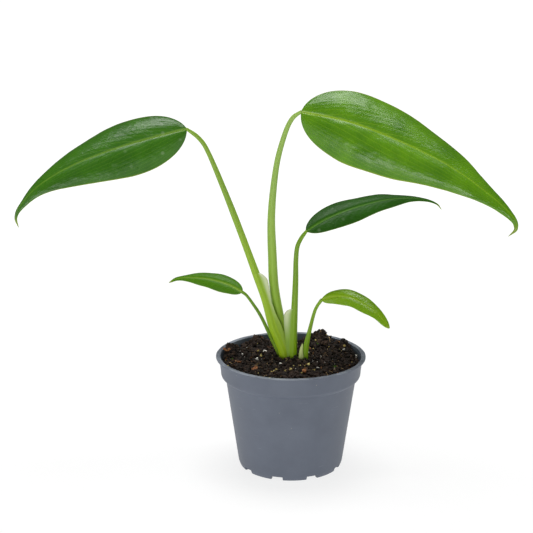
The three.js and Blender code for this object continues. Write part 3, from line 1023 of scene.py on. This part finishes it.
    def cutter(self) -> bpy.types.Object:
        """One mesh of all the foot gaps and drain holes, to be cut away.

        Returns:
            The cutter's object.
        """
        work = bmesh.new()
        for k in range(self.feet):
            turn = math.radians(self.first_gap + 360 / self.feet * k)
            self.add_prism(work, turn, self.foot_outer + 0.5, self.gap_outline(), -1.0,
                           self.foot_height + 0.02)
            circle = [
                (self.drain_radius * math.cos(a), self.drain_radius * math.sin(a))
                for a in np.linspace(0, 2 * math.pi, 32, endpoint=False)
            ]
            self.add_prism(work, turn, self.drain_ring, circle, self.foot_height - 1,
                           self.foot_height + self.floor + 1)
        mesh = bpy.data.meshes.new("pot_cutter")
        work.to_mesh(mesh)
        work.free()
        cutter = bpy.data.objects.new("pot_cutter", mesh)
        bpy.context.scene.collection.objects.link(cutter)
        return cutter

    def gap_outline(self) -> list[Pair]:
        """Plan of one gap between two feet: a short slot with rounded inner corners."""
        half, deep, round_by = self.foot_gap / 2, 6.0, 1.2
        plan = [(deep, -half), (deep, half)]
        for centre, first in ((half - round_by, 90), (round_by - half, 180)):
            for a in range(first, first + 91, 30):
                turn = math.radians(a)
                out, across = round_by * math.cos(turn), round_by * math.sin(turn)
                plan.append((-deep + round_by + out, centre + across))
        return plan

    def add_prism(self, work: bmesh.types.BMesh, turn: float, ring: float, plan: Sequence[Pair],
                  low: float, high: float) -> None:
        """Adds an upright prism at a distance from the axis.

        Args:
            work: the mesh that takes it.
            turn: angle round the axis, in radians.
            ring: distance from the axis.
            plan: outline as outward and sideways distances, anticlockwise.
            low: height of the lower face.
            high: height of the upper face.
        """
        def spot(out: float, side: float, z: float) -> Vector:
            """Place of one corner, in metres."""
            x = (ring + out) * math.cos(turn) - side * math.sin(turn)
            y = (ring + out) * math.sin(turn) + side * math.cos(turn)
            return Vector((x, y, z)) * MM

        lower = [work.verts.new(spot(out, side, low)) for out, side in plan]
        upper = [work.verts.new(spot(out, side, high)) for out, side in plan]
        work.faces.new(list(reversed(lower)))
        work.faces.new(upper)
        for k in range(len(plan)):
            after = (k + 1) % len(plan)
            work.faces.new((lower[k], lower[after], upper[after], upper[k]))

    def build(self) -> None:
        """Makes the pot and cuts its feet and drain holes."""
        points, faces = self.turned()
        finish = MouldedPolypropylene("recycled_polypropylene", roughness=0.5, ior=1.49)
        pot = Piece("moulded_pot", points, faces, finish.make(), "pot_plastic", ("nursery_pot",)).place()
        cutter = self.cutter()
        cut = pot.modifiers.new("feet", "BOOLEAN")
        cut.operation = "DIFFERENCE"
        cut.solver = "EXACT"
        cut.object = cutter
        bpy.context.view_layer.update()
        whole = bpy.data.meshes.new_from_object(pot.evaluated_get(bpy.context.evaluated_depsgraph_get()))
        pot.modifiers.clear()
        pot.data = whole
        bpy.data.objects.remove(cutter)
        soften(whole, 40.0)


# ---- Soil ---------------------------------------------------------------------------------


@dataclass
class SoilBed:
    """Potting soil, in millimetres.

    heaps holds the x, y, rise and spread of each heap or hollow, and feet the x, y and radius of
    each stalk's and the bud's own ground, which stays clear of grains. wall_radii, at wall_heights,
    follow the inside of the pot to 0.1 mm.
    """

    level: float = 86.4
    edge: float = 54.6
    floor: float = 5.0
    skirt: Pair = (74.0, 40.0)
    wall_heights: Sequence[float] = (4.6, 73.2, 77.5, 91.6)
    wall_radii: Sequence[float] = (41.0, 51.0, 54.7, 56.3)
    wall_gap: float = 0.35
    heaps: Sequence[tuple[float, float, float, float]] = (
        (25, 43, 10.5, 10),
        (44, 27, 6.5, 9),
        (-49, 15, 8.0, 9),
        (-26, 40, 6.0, 7),
        (-2, 48, -3.6, 11),
        (-44, 30, -2.5, 8),
        (0, -48, 2.6, 20),
        (33, -36, 2.0, 14),
        (-36, -32, 2.2, 13),
        (2, -2, 2.2, 14),
    )
    feet: Sequence[Point] = (
        (1.2, 2.2, 5.0), (-5.2, 3.5, 4.8), (-2.4, 11, 5.2), (11.2, 0.6, 3.6), (-8.6, 10, 2.4), (8.2, -3, 2.4),
    )

    def height(self, x: np.ndarray, y: np.ndarray) -> np.ndarray:
        """Height of the heaped surface, without its crumbs."""
        z = np.full(np.shape(x), self.level)
        for cx, cy, rise, spread in self.heaps:
            z = z + rise * np.exp(-((x - cx) ** 2 + (y - cy) ** 2) / spread**2)
        return z

    def wall(self, z: np.ndarray) -> np.ndarray:
        """Radius of the pot's inner wall, less a hair, at each height."""
        return np.interp(z, self.wall_heights, self.wall_radii) - self.wall_gap

    def lumps(self, x: np.ndarray, y: np.ndarray) -> np.ndarray:
        """Height of the crumbs over the heaped surface: round caps in three sizes.

        Args:
            x: places along X.
            y: places along Y.

        Returns:
            Heights in millimetres.
        """
        total = np.zeros(x.shape)
        for size, lift, seed in ((6.5, 2.2, 1.3), (3.0, 1.4, 5.1), (1.5, 0.7, 9.7)):
            for k, (px, py) in enumerate(zip(x.flat, y.flat)):
                distances, _ = noise.voronoi(Vector((px / size, py / size, seed)))
                total.flat[k] += lift * (0.5 - min(distances[0], 1.0))
        return total

    def bed(self) -> Piece:
        """The body of the soil: a lumpy top over a side and a bottom.

        Returns:
            The soil's piece.
        """
        rings, sides = ((84, 300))
        share = np.linspace(0.004, 1, rings)[:, None] ** 0.75
        angle = np.linspace(0, 2 * math.pi, sides, endpoint=False)[None, :]
        x, y = self.edge * share * np.cos(angle), self.edge * share * np.sin(angle)
        z = self.height(x, y) + self.lumps(x, y)
        top = np.stack([x, y, z], axis=-1)
        levels = np.array([*self.skirt, self.floor])
        skirt = [np.stack([self.wall(h) * np.cos(angle[0]), self.wall(h) * np.sin(angle[0]),
                           np.full(sides, h)], axis=-1) for h in levels]
        points = np.concatenate([top.reshape(-1, 3), *skirt])
        rows = rings + len(levels)
        faces = [tuple(reversed(face)) for face in grid_faces(rows, sides, closed=True)]
        faces.append(tuple(range(sides)))
        faces.append(tuple(range((rows - 1) * sides, rows * sides))[::-1])
        tint = 0.25 + 0.5 * noise_at(points, 9.0, 3)
        finish = Earth("moist_peat", roughness=0.85)
        return Piece("soil_bed", points, faces, finish.make(), "soil", ("potting_soil",), {"tint": tint},
                     sharp_above=75.0)

    def spots(self, count: int, seed: int, clear: float) -> tuple[np.ndarray, np.random.Generator]:
        """Random places on the soil, clear of the wall and the stalks.

        Args:
            count: number of places wanted.
            seed: seed of the random numbers.
            clear: distance to keep from the wall and the stalks.

        Returns:
            The places, and the random numbers to go on with.
        """
        dice = np.random.default_rng(seed)
        found = np.empty((0, 2))
        while len(found) < count:
            tries = dice.uniform(-self.edge, self.edge, (count * 2, 2))
            good = np.hypot(tries[:, 0], tries[:, 1]) < self.edge - clear
            for fx, fy, r in self.feet:
                good &= np.hypot(tries[:, 0] - fx, tries[:, 1] - fy) > r + clear * 0.4
            found = np.vstack([found, tries[good]])
        return found[:count], dice

    def scatter(self, name: str, finish: Finish, slot: str, count: int, sizes: Pair, detail: int,
                seed: int, sink: float = 0.25, flat: Pair = (0.55, 0.95)) -> Piece:
        """Loose grains scattered over the soil, as one piece.

        Args:
            name: the piece's name.
            finish: the grains' finish.
            slot: the material slot that they belong to.
            count: number of grains.
            sizes: smallest and largest radius.
            detail: how finely each grain is divided.
            seed: seed of the random numbers.
            sink: how deep a grain sits, as a share of its radius; below 0 it stands out.
            flat: range of a grain's height as a share of its width.

        Returns:
            The grains' piece.
        """
        count = count
        ball, triangles = ball_mesh(detail)
        places, dice = self.spots(count, seed, sizes[1] * 0.5)
        points, faces, tints = [], [], []
        for k, (x, y) in enumerate(places):
            size = sizes[0] + (sizes[1] - sizes[0]) * dice.random() ** 2.2
            z = float(self.height(np.array(x), np.array(y))) + size * (0.6 - sink)
            grain = rough_grain(ball, dice, size, dice.uniform(*flat))
            points.append(grain + (x, y, z))
            faces.append(triangles + k * len(ball))
            tints.append(np.full(len(ball), dice.beta(1.3, 2.6)))
        return Piece(
            name, np.concatenate(points), np.concatenate(faces).tolist(), finish.make(), slot,
            marks={"tint": np.concatenate(tints)}, sharp_above=50.0,
        )


def ball_mesh(detail: int) -> tuple[np.ndarray, np.ndarray]:
    """Points and triangles of a ball of radius 1.

    Args:
        detail: 1 for twenty faces, and each step more for four times as many.

    Returns:
        Points and triangles.
    """
    work = bmesh.new()
    bmesh.ops.create_icosphere(work, subdivisions=detail, radius=1.0)
    points = np.array([v.co[:] for v in work.verts])
    triangles = np.array([[v.index for v in face.verts] for face in work.faces])
    work.free()
    return points, triangles


def upright_turn(angle: float) -> np.ndarray:
    """Matrix that turns by an angle, in radians, about Z."""
    cosine, sine = math.cos(angle), math.sin(angle)
    return np.array([[cosine, -sine, 0], [sine, cosine, 0], [0, 0, 1]])


def turn_matrix(dice: np.random.Generator, tilt: float = math.pi) -> np.ndarray:
    """Random turn about Z after a random tilt of up to tilt radians.

    Args:
        dice: the random numbers.
        tilt: the largest tilt.

    Returns:
        A 3 by 3 turning matrix.
    """
    a, b, c = dice.uniform(0, 2 * math.pi), dice.uniform(-tilt, tilt), dice.uniform(0, 2 * math.pi)
    lean = np.array([[1, 0, 0], [0, math.cos(b), -math.sin(b)], [0, math.sin(b), math.cos(b)]])
    return upright_turn(a) @ lean @ upright_turn(c)


def rough_grain(ball: np.ndarray, dice: np.random.Generator, size: float, flat: float) -> np.ndarray:
    """One grain: a lumpy, flattened, turned ball.

    Args:
        ball: points of a ball of radius 1.
        dice: the random numbers.
        size: radius in millimetres.
        flat: height as a share of width.

    Returns:
        The grain's points about its own centre.
    """
    shift = dice.uniform(-50, 50, 3)
    swell = 1 + 0.55 * noise_at(ball + shift, 0.9, 2)
    stretch = np.array([1.0, dice.uniform(0.6, 1.0), flat])
    return (ball * swell[:, None] * stretch * size) @ turn_matrix(dice).T


@dataclass
class LooseMatter:
    """Perlite, bark, moss and root fibres on the soil, in millimetres.

    Each perlite grain has its x, y and radius, each bark chip its x, y, length and turn in
    degrees, and each moss tuft its x, y and size. bark_tints holds each chip's tone, from 0 for
    dark to 1 for light.
    """

    bed: SoilBed
    perlite: Sequence[Point] = (
        (-21, 19, 1.7), (-39, 9, 1.2), (-27, 1, 1.4), (-8, -13, 1.4), (-4, -24, 1.3), (-19, -10, 1.2),
        (43, 18, 1.4), (53, 9, 1.3), (26, -8, 1.5), (18, 5, 1.3), (-35, 31, 1.0), (21, -23, 1.2),
    )
    bark: Sequence[tuple[float, float, float, float]] = (
        (-51, 9, 7, 35), (-43, -8, 8, -20), (-29, -30, 7, 15), (-17, 29, 6, 60), (10, -34, 6, -40),
    )
    bark_tints: Sequence[float] = (0.75, 0.45, 0.6, 0.35, 0.9)
    moss: Sequence[Point] = ((-47, -1, 2.2), (34, -21, 2.4), (23, 32, 2.0))
    moss_leaves: int = 150
    fibre_count: int = 60
    fibre_length: Pair = (2, 7)
    fibre_radius: Pair = (0.10, 0.22)
    fibre_limit: float = 53.5

    def top_of(self, x: float, y: float) -> float:
        """Height of the soil at one place."""
        return float(self.bed.height(np.array(x), np.array(y)))

    def perlite_pieces(self) -> list[Piece]:
        """Expanded perlite: light white grains with pitted, angular faces."""
        finish = Earth("expanded_perlite", roughness=0.8, dark="#b9b2a6", light="#f4f1ea", speck="#8f8678",
                       speck_share=0.70, grain_scale=2600.0, height=0.15).make()
        ball, triangles = ball_mesh(4)
        pieces = []
        for k, (x, y, size) in enumerate(self.perlite, start=1):
            dice = np.random.default_rng(400 + k)
            grain = rough_grain(ball, dice, size, 0.8)
            grain = grain + 0.05 * size * noise_at(grain * 3 + k, 1.0, 3)[:, None] * unit(grain)
            points = grain + (x, y, self.top_of(x, y) + size * 0.75)
            tint = np.full(len(points), 0.75 if k % 4 else 0.5)
            pieces.append(Piece(f"perlite_grain_{k:02d}", points, triangles.tolist(), finish, "perlite",
                                (f"perlite_{k:02d}",), {"tint": tint}, sharp_above=80.0))
        return pieces

    def bark_pieces(self) -> list[Piece]:
        """Composted pine bark: thin curled chips with a fibrous face."""
        finish = Earth("composted_bark", roughness=0.8, dark="#4a2a16", light="#9a6238", speck="#b88a58",
                       speck_share=0.64, grain_scale=1100.0, height=0.3).make()
        pieces = []
        for k, (x, y, length, turn) in enumerate(self.bark, start=1):
            dice = np.random.default_rng(500 + k)
            rows, columns = 16, 28
            v, u = np.meshgrid(np.linspace(-1, 1, rows), np.linspace(-1, 1, columns), indexing="ij")
            sides = np.c_[u.ravel() * 2, np.full(u.size, k), u.ravel()]
            ragged = 1 - 0.25 * np.abs(noise_at(sides, 0.6, 3)).reshape(u.shape)
            px = u * length * 0.5
            py = v * length * 0.27 * ragged * np.sqrt(np.clip(1.05 - u**4, 0.05, 1))
            strands = np.stack([px, py * 3, np.full(u.shape, k * 5.0)], axis=-1).reshape(-1, 3)
            rise = noise_at(strands, 3.0, 3).reshape(u.shape)
            pz = 0.9 * (u**2 - 0.3) + 0.8 * v**2 + 0.45 * rise
            half = 0.5 * np.sqrt(np.clip(1.08 - v**4, 0.05, 1))
            upper = np.stack([px, py, pz + half], axis=-1).reshape(-1, 3)
            lower = np.stack([px, py, pz - half], axis=-1).reshape(-1, 3)
            points = np.concatenate([upper, lower]) @ turn_matrix(dice, 0.25).T
            points = points @ upright_turn(math.radians(turn)).T + (x, y, self.top_of(x, y) + 1.4)
            tint = np.full(len(points), self.bark_tints[k - 1])
            pieces.append(Piece(f"bark_{k:02d}", points, closed_sheet(rows, columns), finish, "bark",
                                (f"bark_chip_{k:02d}",), {"tint": tint}, sharp_above=60.0))
        return pieces

    def moss_pieces(self) -> list[Piece]:
        """Young moss: tufts of tiny pointed leaves on a small cushion."""
        finish = Earth("young_moss", roughness=0.75, dark="#2f5210", light="#7fae34", speck="#b8cc60",
                       speck_share=0.72, grain_scale=900.0, height=0.1).make()
        pieces = []
        for k, (x, y, size) in enumerate(self.moss, start=1):
            dice = np.random.default_rng(600 + k)
            points, faces, tints = [], [], []
            for _ in range(self.moss_leaves):
                lean = unit(dice.normal(size=3) * (1, 1, 0.6) + (0, 0, 0.9))
                long = size * dice.uniform(0.35, 0.75)
                root = dice.normal(size=3) * size * (0.42, 0.42, 0.16)
                wide = unit(np.cross(lean, dice.normal(size=3))) * long * 0.14
                deep = unit(np.cross(lean, wide)) * long * 0.05
                start = len(points)
                points += [root - wide, root + deep, root + wide, root + lean * long]
                faces += [(start, start + 1, start + 3), (start + 1, start + 2, start + 3),
                          (start + 2, start, start + 3), (start + 2, start + 1, start)]
                tints += [dice.uniform(0.1, 0.8)] * 4
            placed = np.array(points) + (x, y, self.top_of(x, y) + size * 0.45)
            pieces.append(Piece(f"moss_tuft_{k:02d}", placed, faces, finish, "moss", (f"moss_{k:02d}",),
                                {"tint": np.array(tints)}, sharp_above=30.0))
        return pieces

    def fibres(self) -> Piece:
        """Fine coir and root fibres lying across the crumbs, as one piece of thin bars."""
        places, dice = self.bed.spots(self.fibre_count, seed=77, clear=3.0)
        points, faces, tints = [], [], []
        sides, steps = 5, 9
        angle = np.linspace(0, 2 * math.pi, sides, endpoint=False)
        for x, y in places:
            long, thick = dice.uniform(*self.fibre_length), dice.uniform(*self.fibre_radius)
            turn = dice.uniform(0, 2 * math.pi)
            t = np.linspace(-0.5, 0.5, steps)
            bend = dice.uniform(-0.5, 0.5) * long
            px = x + long * t * math.cos(turn) - bend * t**2 * math.sin(turn)
            py = y + long * t * math.sin(turn) + bend * t**2 * math.cos(turn)
            reach = np.hypot(px, py)
            shrink = np.minimum(1, self.fibre_limit / np.maximum(reach, 1))
            px, py = px * shrink, py * shrink
            pz = self.bed.height(px, py) + 1.3 + 0.9 * np.sin(t * 3 + dice.uniform(0, 3))
            middle = np.stack([px, py, pz], axis=1)
            along = unit(np.gradient(middle, axis=0))
            one = unit(np.cross(along, [0.1, 0.2, 1.0]))
            two = np.cross(along, one)
            ring = (middle[:, None, :] + thick * (one[:, None, :] * np.cos(angle)[None, :, None]
                                                  + two[:, None, :] * np.sin(angle)[None, :, None]))
            start = sum(len(part) for part in points)
            points.append(ring.reshape(-1, 3))
            faces += grid_faces(steps, sides, start, closed=True)
            faces.append(tuple(range(start + sides - 1, start - 1, -1)))
            faces.append(tuple(range(start + (steps - 1) * sides, start + steps * sides)))
            tints.append(np.full(steps * sides, dice.uniform(0, 0.9)))
        finish = Earth("coir_fibre", roughness=0.7, dark="#5a3f22", light="#c8a878", speck="#e0c898",
                       speck_share=0.7, grain_scale=900.0, height=0.05)
        return Piece("soil_fibres", np.concatenate(points), faces, finish.make(), "bark",
                     marks={"tint": np.concatenate(tints)}, sharp_above=60.0)

    def build(self) -> None:
        """Places the soil and everything on it."""
        peat = Earth("peat_crumb", roughness=0.85)
        bed = self.bed
        bed.bed().place()
        bed.scatter("soil_clods", peat, "soil", count=560, sizes=(1.0, 2.8), detail=3, seed=11).place()
        bed.scatter("soil_crumbs", peat, "soil", count=2400, sizes=(0.5, 1.5), detail=2, seed=12,
                    sink=-0.7).place()
        dust = Earth("perlite_dust", roughness=0.8, dark="#a8a196", light="#efebe2", speck="#8f8678",
                     grain_scale=2600.0, height=0.1)
        bed.scatter("perlite_dust", dust, "perlite", count=60, sizes=(0.3, 0.75), detail=2, seed=13,
                    sink=-1.2).place()
        husks = Earth("seed_husk", roughness=0.7, dark="#8a7434", light="#d8c880", speck="#f0e8b8",
                      grain_scale=1600.0, height=0.1)
        bed.scatter("seed_husks", husks, "bark", count=60, sizes=(0.6, 1.4), detail=2, seed=15,
                    sink=-1.0, flat=(0.5, 0.9)).place()
        crumbs = Earth("bark_crumb", roughness=0.8, dark="#4a2f1a", light="#80582e", speck="#b08a50",
                       grain_scale=1300.0, height=0.2)
        bed.scatter("bark_crumbs", crumbs, "bark", count=150, sizes=(0.5, 1.5), detail=2, seed=14,
                    sink=-0.9, flat=(0.25, 0.5)).place()
        for piece in [*self.perlite_pieces(), *self.bark_pieces(), *self.moss_pieces(), self.fibres()]:
            piece.place()


# ---- Plant --------------------------------------------------------------------------------


@dataclass
class Foliage:
    """All leaf blades and stalks of the plant."""

    def blades(self) -> list[Blade]:
        """The five blades, each with the green of its age.

        Returns:
            The blades.
        """
        wax = {"roughness": 0.30, "ior": 1.33, "coat": 0.14, "coat_roughness": 0.2}
        dull = {"roughness": 0.42, "ior": 1.25}
        return [
            Blade(
                "blade_tall_right",
                ((7, 2, 288), (44, -8, 282), (82, -18, 269), (119, -29, 252),
                 (147, -38, 233), (165, -44, 217), (168.5, -46, 208), (163, -45, 201)),
                ((66, 4), (38, 24)), (34, 31.5), (58, 40), (0.52, 1.45),
                LeafCuticle("mature_leaf_bright", deep="#356a02", bright="#5a8e04", vein="#8cb024",
                            margin="#98a23c", **wax),
                wave=0.6, wave_count=4.2, seed=3,
            ),
            Blade(
                "blade_tall_left",
                ((-81, 0, 275), (-109, -6, 269), (-139, -13, 261), (-169, -20, 250),
                 (-193, -26, 236), (-207, -29, 221), (-211, -30, 212), (-209, -29, 204)),
                ((66, 0), (52, -42)), (26, 26), (55, 55), (0.6, 1.55),
                LeafCuticle("mature_leaf_deep", deep="#205204", bright="#366c0a", vein="#6f962c",
                            margin="#98a23c", spots=0.14, **wax),
                wave=0.5, wave_count=3.1, seed=5,
            ),
            Blade(
                "blade_middle",
                ((12, 8, 192), (27, 14, 200), (47, 24, 206), (72, 36, 210),
                 (93, 46, 210), (110, 53, 207), (120, 57, 202.5), (124, 58, 197.5)),
                ((35, 0), (25, 8)), (13, 14), (36, 34), (0.6, 1.6),
                LeafCuticle("mature_leaf_dark", deep="#164006", bright="#225208", vein="#4c7a1c",
                            margin="#7c8c34", spots=0.1, **dull),
                valley=0.6, wave=0.5, groove=0.45, keel=1.0, steps=170, cells=20, seed=8,
            ),
            Blade(
                "blade_small_left",
                ((-39, 14, 140), (-50, 18, 145), (-65, 23, 148),
                 (-80, 28, 148), (-92, 32, 146), (-99, 34, 142)),
                ((42, 8), (42, -8)), (9, 8.5), (38, 38), (0.54, 1.35),
                LeafCuticle("young_leaf_mid", deep="#336402", bright="#467804", vein="#7c9c30", **dull),
                valley=0.4, wave=0.35, groove=0.3, keel=0.7, thickness=0.36,
                steps=130, cells=16, seed=11,
            ),
            Blade(
                "blade_small_right",
                ((24, -4, 139), (34, -9, 143), (46, -15, 144),
                 (57, -21, 140), (67, -27, 134), (76, -32, 124)),
                ((44, 0), (44, 25)), (7.5, 8.5), (42, 30), (0.5, 0.75),
                LeafCuticle("new_leaf_lime", deep="#5f8c04", bright="#749c06", vein="#8fae2c",
                            margin="#98ac30", under="#8cab48", tip="#86a028", **wax),
                slot="young_blade", valley=0.4, wave=0.35, groove=0.3, keel=0.7,
                thickness=0.36, steps=130, cells=16, seed=14,
            ),
        ]

    def stalks(self) -> list[Stalk]:
        """The five stalks, with the sheaths of the two that have one.

        Returns:
            The stalks.
        """
        skin = {"roughness": 0.45, "ior": 1.36, "glow": 0.15, "glow_depth": (1.2, 1.6, 0.6)}
        return [
            Stalk(
                "stalk_middle",
                ((1.2, 2, 78), (1.9, 2.6, 105), (2.8, 3.3, 128), (3.6, 4.4, 152), (3.8, 5.2, 168),
                 (4.8, 6, 179), (7.8, 7, 186), (12.4, 8.2, 192.2)),
                (0, 0.2, 0.42, 0.79, 0.97, 1), (3.75, 3.3, 2.7, 1.95, 1.6, 1.0),
                StalkSkin("stalk_skin_saturated", foot="#8ab208", top="#70951e", shade="#64901a", **skin),
                Sheath(Side.LEFT, (78, 92, 106, 118, 130), (4.4, 4.6, 5.0, 6.6, 7.0), 129.5),
            ),
            Stalk(
                "stalk_tall_left",
                ((-4.5, 3.5, 78), (-5.7, 3.4, 92), (-11, 3.5, 106), (-14.6, 3.5, 115), (-20.1, 3.2, 136),
                 (-26.3, 3, 154), (-40, 2, 193), (-53, 1, 228), (-65, 0, 257.5), (-72, 0, 268),
                 (-81.4, 0, 275.2)),
                (0, 0.25, 0.45, 0.7, 0.88, 0.98, 1), (4.2, 3.4, 2.85, 2.4, 1.8, 1.6, 1.0),
                StalkSkin("stalk_skin_lime", foot="#a0c21a", top="#7e9f34", shade="#729a1c", **skin),
                Sheath(Side.RIGHT, (78, 92, 104, 110, 116, 126, 135, 143, 153, 160),
                       (1.0, 1.5, 3.6, 5.4, 5.3, 3.4, 2.7, 4.1, 5.9, 5.6), 159.5),
            ),
            Stalk(
                "stalk_tall_right",
                ((-1.5, 11, 78), (-3.2, 11, 95), (-8.8, 10.2, 117.5), (-13.4, 9.6, 145.5), (-14.8, 9, 170),
                 (-15.6, 8, 205), (-12, 6, 243), (-6, 4, 268), (0, 3, 282), (7.4, 2, 288.2)),
                (0, 0.18, 0.31, 0.43, 0.75, 0.975, 1), (4.5, 4.1, 3.8, 3.6, 2.4, 1.8, 1.1),
                StalkSkin("stalk_skin_pale", foot="#98bd28", top="#90b050", shade="#7a9e42", **skin),
            ),
            Stalk(
                "stalk_small_right",
                ((10.7, 1, 78), (12, 0, 97), (14.4, -1, 110),
                 (17.5, -2, 124), (20, -3, 132), (24.3, -4.1, 139.1)),
                (0, 0.3, 0.6, 1), (3, 2.3, 1.5, 1.2),
                StalkSkin("stalk_skin_fresh", foot="#82a80c", top="#7ca224", shade="#64900e", **skin),
                steps=90,
            ),
            Stalk(
                "stalk_small_left",
                ((-7.6, 10, 78), (-9.2, 10.2, 88), (-15.6, 11.3, 102), (-24, 12.5, 120),
                 (-31, 13.3, 131), (-35.5, 14, 137), (-39.3, 14.1, 140.1)),
                (0, 0.4, 1), (1.7, 1.5, 1.1),
                StalkSkin("stalk_skin_slim", foot="#7ea012", top="#6b9222", shade="#5c8818", **skin),
                steps=90,
            ),
        ]

    def build(self) -> None:
        """Places every stalk, blade and the new shoot."""
        for part in [*self.stalks(), *self.blades(), Shoot()]:
            part.piece().place()


@dataclass
class RootCrown:
    """Underground stem and main roots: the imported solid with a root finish."""

    node: str = "root_crown"

    def build(self, nodes: dict[str, bpy.types.Object]) -> None:
        """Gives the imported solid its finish.

        Args:
            nodes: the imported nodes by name.
        """
        finish = Earth("fleshy_root", roughness=0.6, dark="#a8946a", light="#e0d2a8", speck="#7a6038",
                       speck_share=0.68, grain_scale=500.0, height=0.3).make()
        slots = nodes[self.node].data.materials
        if slots:
            slots[0] = finish
        else:
            slots.append(finish)


# ---- Studio -------------------------------------------------------------------------------


@dataclass(frozen=True)
class SoftBox:
    """One rectangular lamp that faces the plant, in metres and watts."""

    name: str
    place: Point
    size: Pair
    power: float


@dataclass
class Studio:
    """Camera, floor and soft light, in metres.

    floor_glow is the floor's own light at the pot, which rises to 1 over the distances of
    glow_reach, and surround is the strength of the white surroundings as a source of light.
    """

    target: Point = (-0.0195, 0.0, 0.165)
    distance: float = 1.2
    elevation: float = 15.48
    lens: float = 102.7
    floor_size: float = 14.0
    floor_colour: str = "#858585"
    floor_glow: float = 0.80
    glow_reach: Pair = (0.25, 1.2)
    surround: float = 0.10
    lamp_target: Point = (0.0, 0.0, 0.2)
    lamps: Sequence[SoftBox] = (
        SoftBox("softbox_top", (0.0, 0.3, 1.6), (0.9, 0.9), 21.0),
        SoftBox("softbox_high", (0.0, -1.1, 1.5), (1.6, 1.0), 1.2),
        SoftBox("softbox_front", (-0.5, -1.85, 0.14), (0.9, 0.42), 17.0),
        SoftBox("softbox_left", (-1.5, -0.3, 0.5), (0.5, 1.0), 4.0),
        SoftBox("softbox_right", (1.5, -0.3, 0.5), (0.5, 1.0), 4.0),
    )

    def camera(self) -> None:
        """Looks along +Y and a little down, level and with no shift."""
        tilt = math.radians(self.elevation)
        data = bpy.data.cameras.new("studio_camera")
        data.lens = self.lens
        data.sensor_width = 36.0
        data.clip_start = 0.01
        camera = bpy.data.objects.new("studio_camera", data)
        x, y, z = self.target
        camera.location = (x, y - self.distance * math.cos(tilt), z + self.distance * math.sin(tilt))
        camera.rotation_euler = (math.pi / 2 - tilt, 0, 0)
        bpy.context.scene.collection.objects.link(camera)
        bpy.context.scene.camera = camera

    def floor(self) -> None:
        """Plain white floor that takes a soft shadow."""
        half = self.floor_size / 2
        mesh = bpy.data.meshes.new("studio_floor")
        corners = [(-half, -half, 0), (half, -half, 0), (half, half, 0), (-half, half, 0)]
        mesh.from_pydata(corners, [], [(0, 1, 2, 3)])
        material = bpy.data.materials.new("white_floor")
        material.use_nodes = True
        shader = material.node_tree.nodes["Principled BSDF"]
        shader.inputs["Base Color"].default_value = linear(self.floor_colour)
        shader.inputs["Roughness"].default_value = 0.9
        shader.inputs["Specular IOR Level"].default_value = 0.0
        shader.inputs["Emission Color"].default_value = (1, 1, 1, 1)
        # A glow stands for background lamps, which keep the far floor as white as the floor under the
        # soft boxes.
        tree = material.node_tree
        place = add_node(tree, "TexCoord").outputs["Object"]
        away = add_node(tree, "VectorMath", {0: place}, operation="LENGTH").outputs["Value"]
        glow = add_node(tree, "MapRange", {"Value": away, "From Min": self.glow_reach[0],
                                           "From Max": self.glow_reach[1], "To Min": self.floor_glow,
                                           "To Max": 1.0},
                        interpolation_type="SMOOTHSTEP")
        tree.links.new(glow.outputs[0], shader.inputs["Emission Strength"])
        mesh.materials.append(material)
        floor = bpy.data.objects.new("studio_floor", mesh)
        bpy.context.scene.collection.objects.link(floor)

    def lamp(self, box: SoftBox) -> None:
        """Adds a soft box that faces the plant.

        Args:
            box: the lamp's name, place, size and power.
        """
        data = bpy.data.lights.new(box.name, "AREA")
        data.shape = "RECTANGLE"
        data.size, data.size_y = box.size
        data.energy = box.power
        lamp = bpy.data.objects.new(box.name, data)
        lamp.location = box.place
        aim = Vector(self.lamp_target) - Vector(box.place)
        lamp.rotation_euler = aim.to_track_quat("-Z", "Y").to_euler()
        bpy.context.scene.collection.objects.link(lamp)

    def build(self) -> None:
        """Sets up the camera, floor, white surroundings and lamps."""
        self.camera()
        self.floor()
        self.surroundings()
        bpy.context.scene.view_settings.view_transform = "Standard"
        for box in self.lamps:
            self.lamp(box)

    def surroundings(self) -> None:
        """White studio: bright where the camera sees it, and dim as a source of light."""
        world = bpy.data.worlds.new("white_studio")
        world.use_nodes = True
        tree = world.node_tree
        ray = add_node(tree, "LightPath").outputs["Is Camera Ray"]
        strength = add_node(tree, "MapRange", {"Value": ray, "To Min": self.surround, "To Max": 1.0})
        tree.links.new(strength.outputs[0], tree.nodes["Background"].inputs["Strength"])
        tree.nodes["Background"].inputs["Color"].default_value = (1, 1, 1, 1)
        bpy.context.scene.world = world


def main() -> None:
    """Builds the studio and every sub-assembly in order."""
    logging.basicConfig(level=logging.INFO, format="%(name)s %(message)s")
    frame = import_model()
    Studio().build()
    NurseryPot().build()
    LooseMatter(SoilBed()).build()
    RootCrown().build(frame["nodes"])
    Foliage().build()


if __name__ == "__main__":
    main()
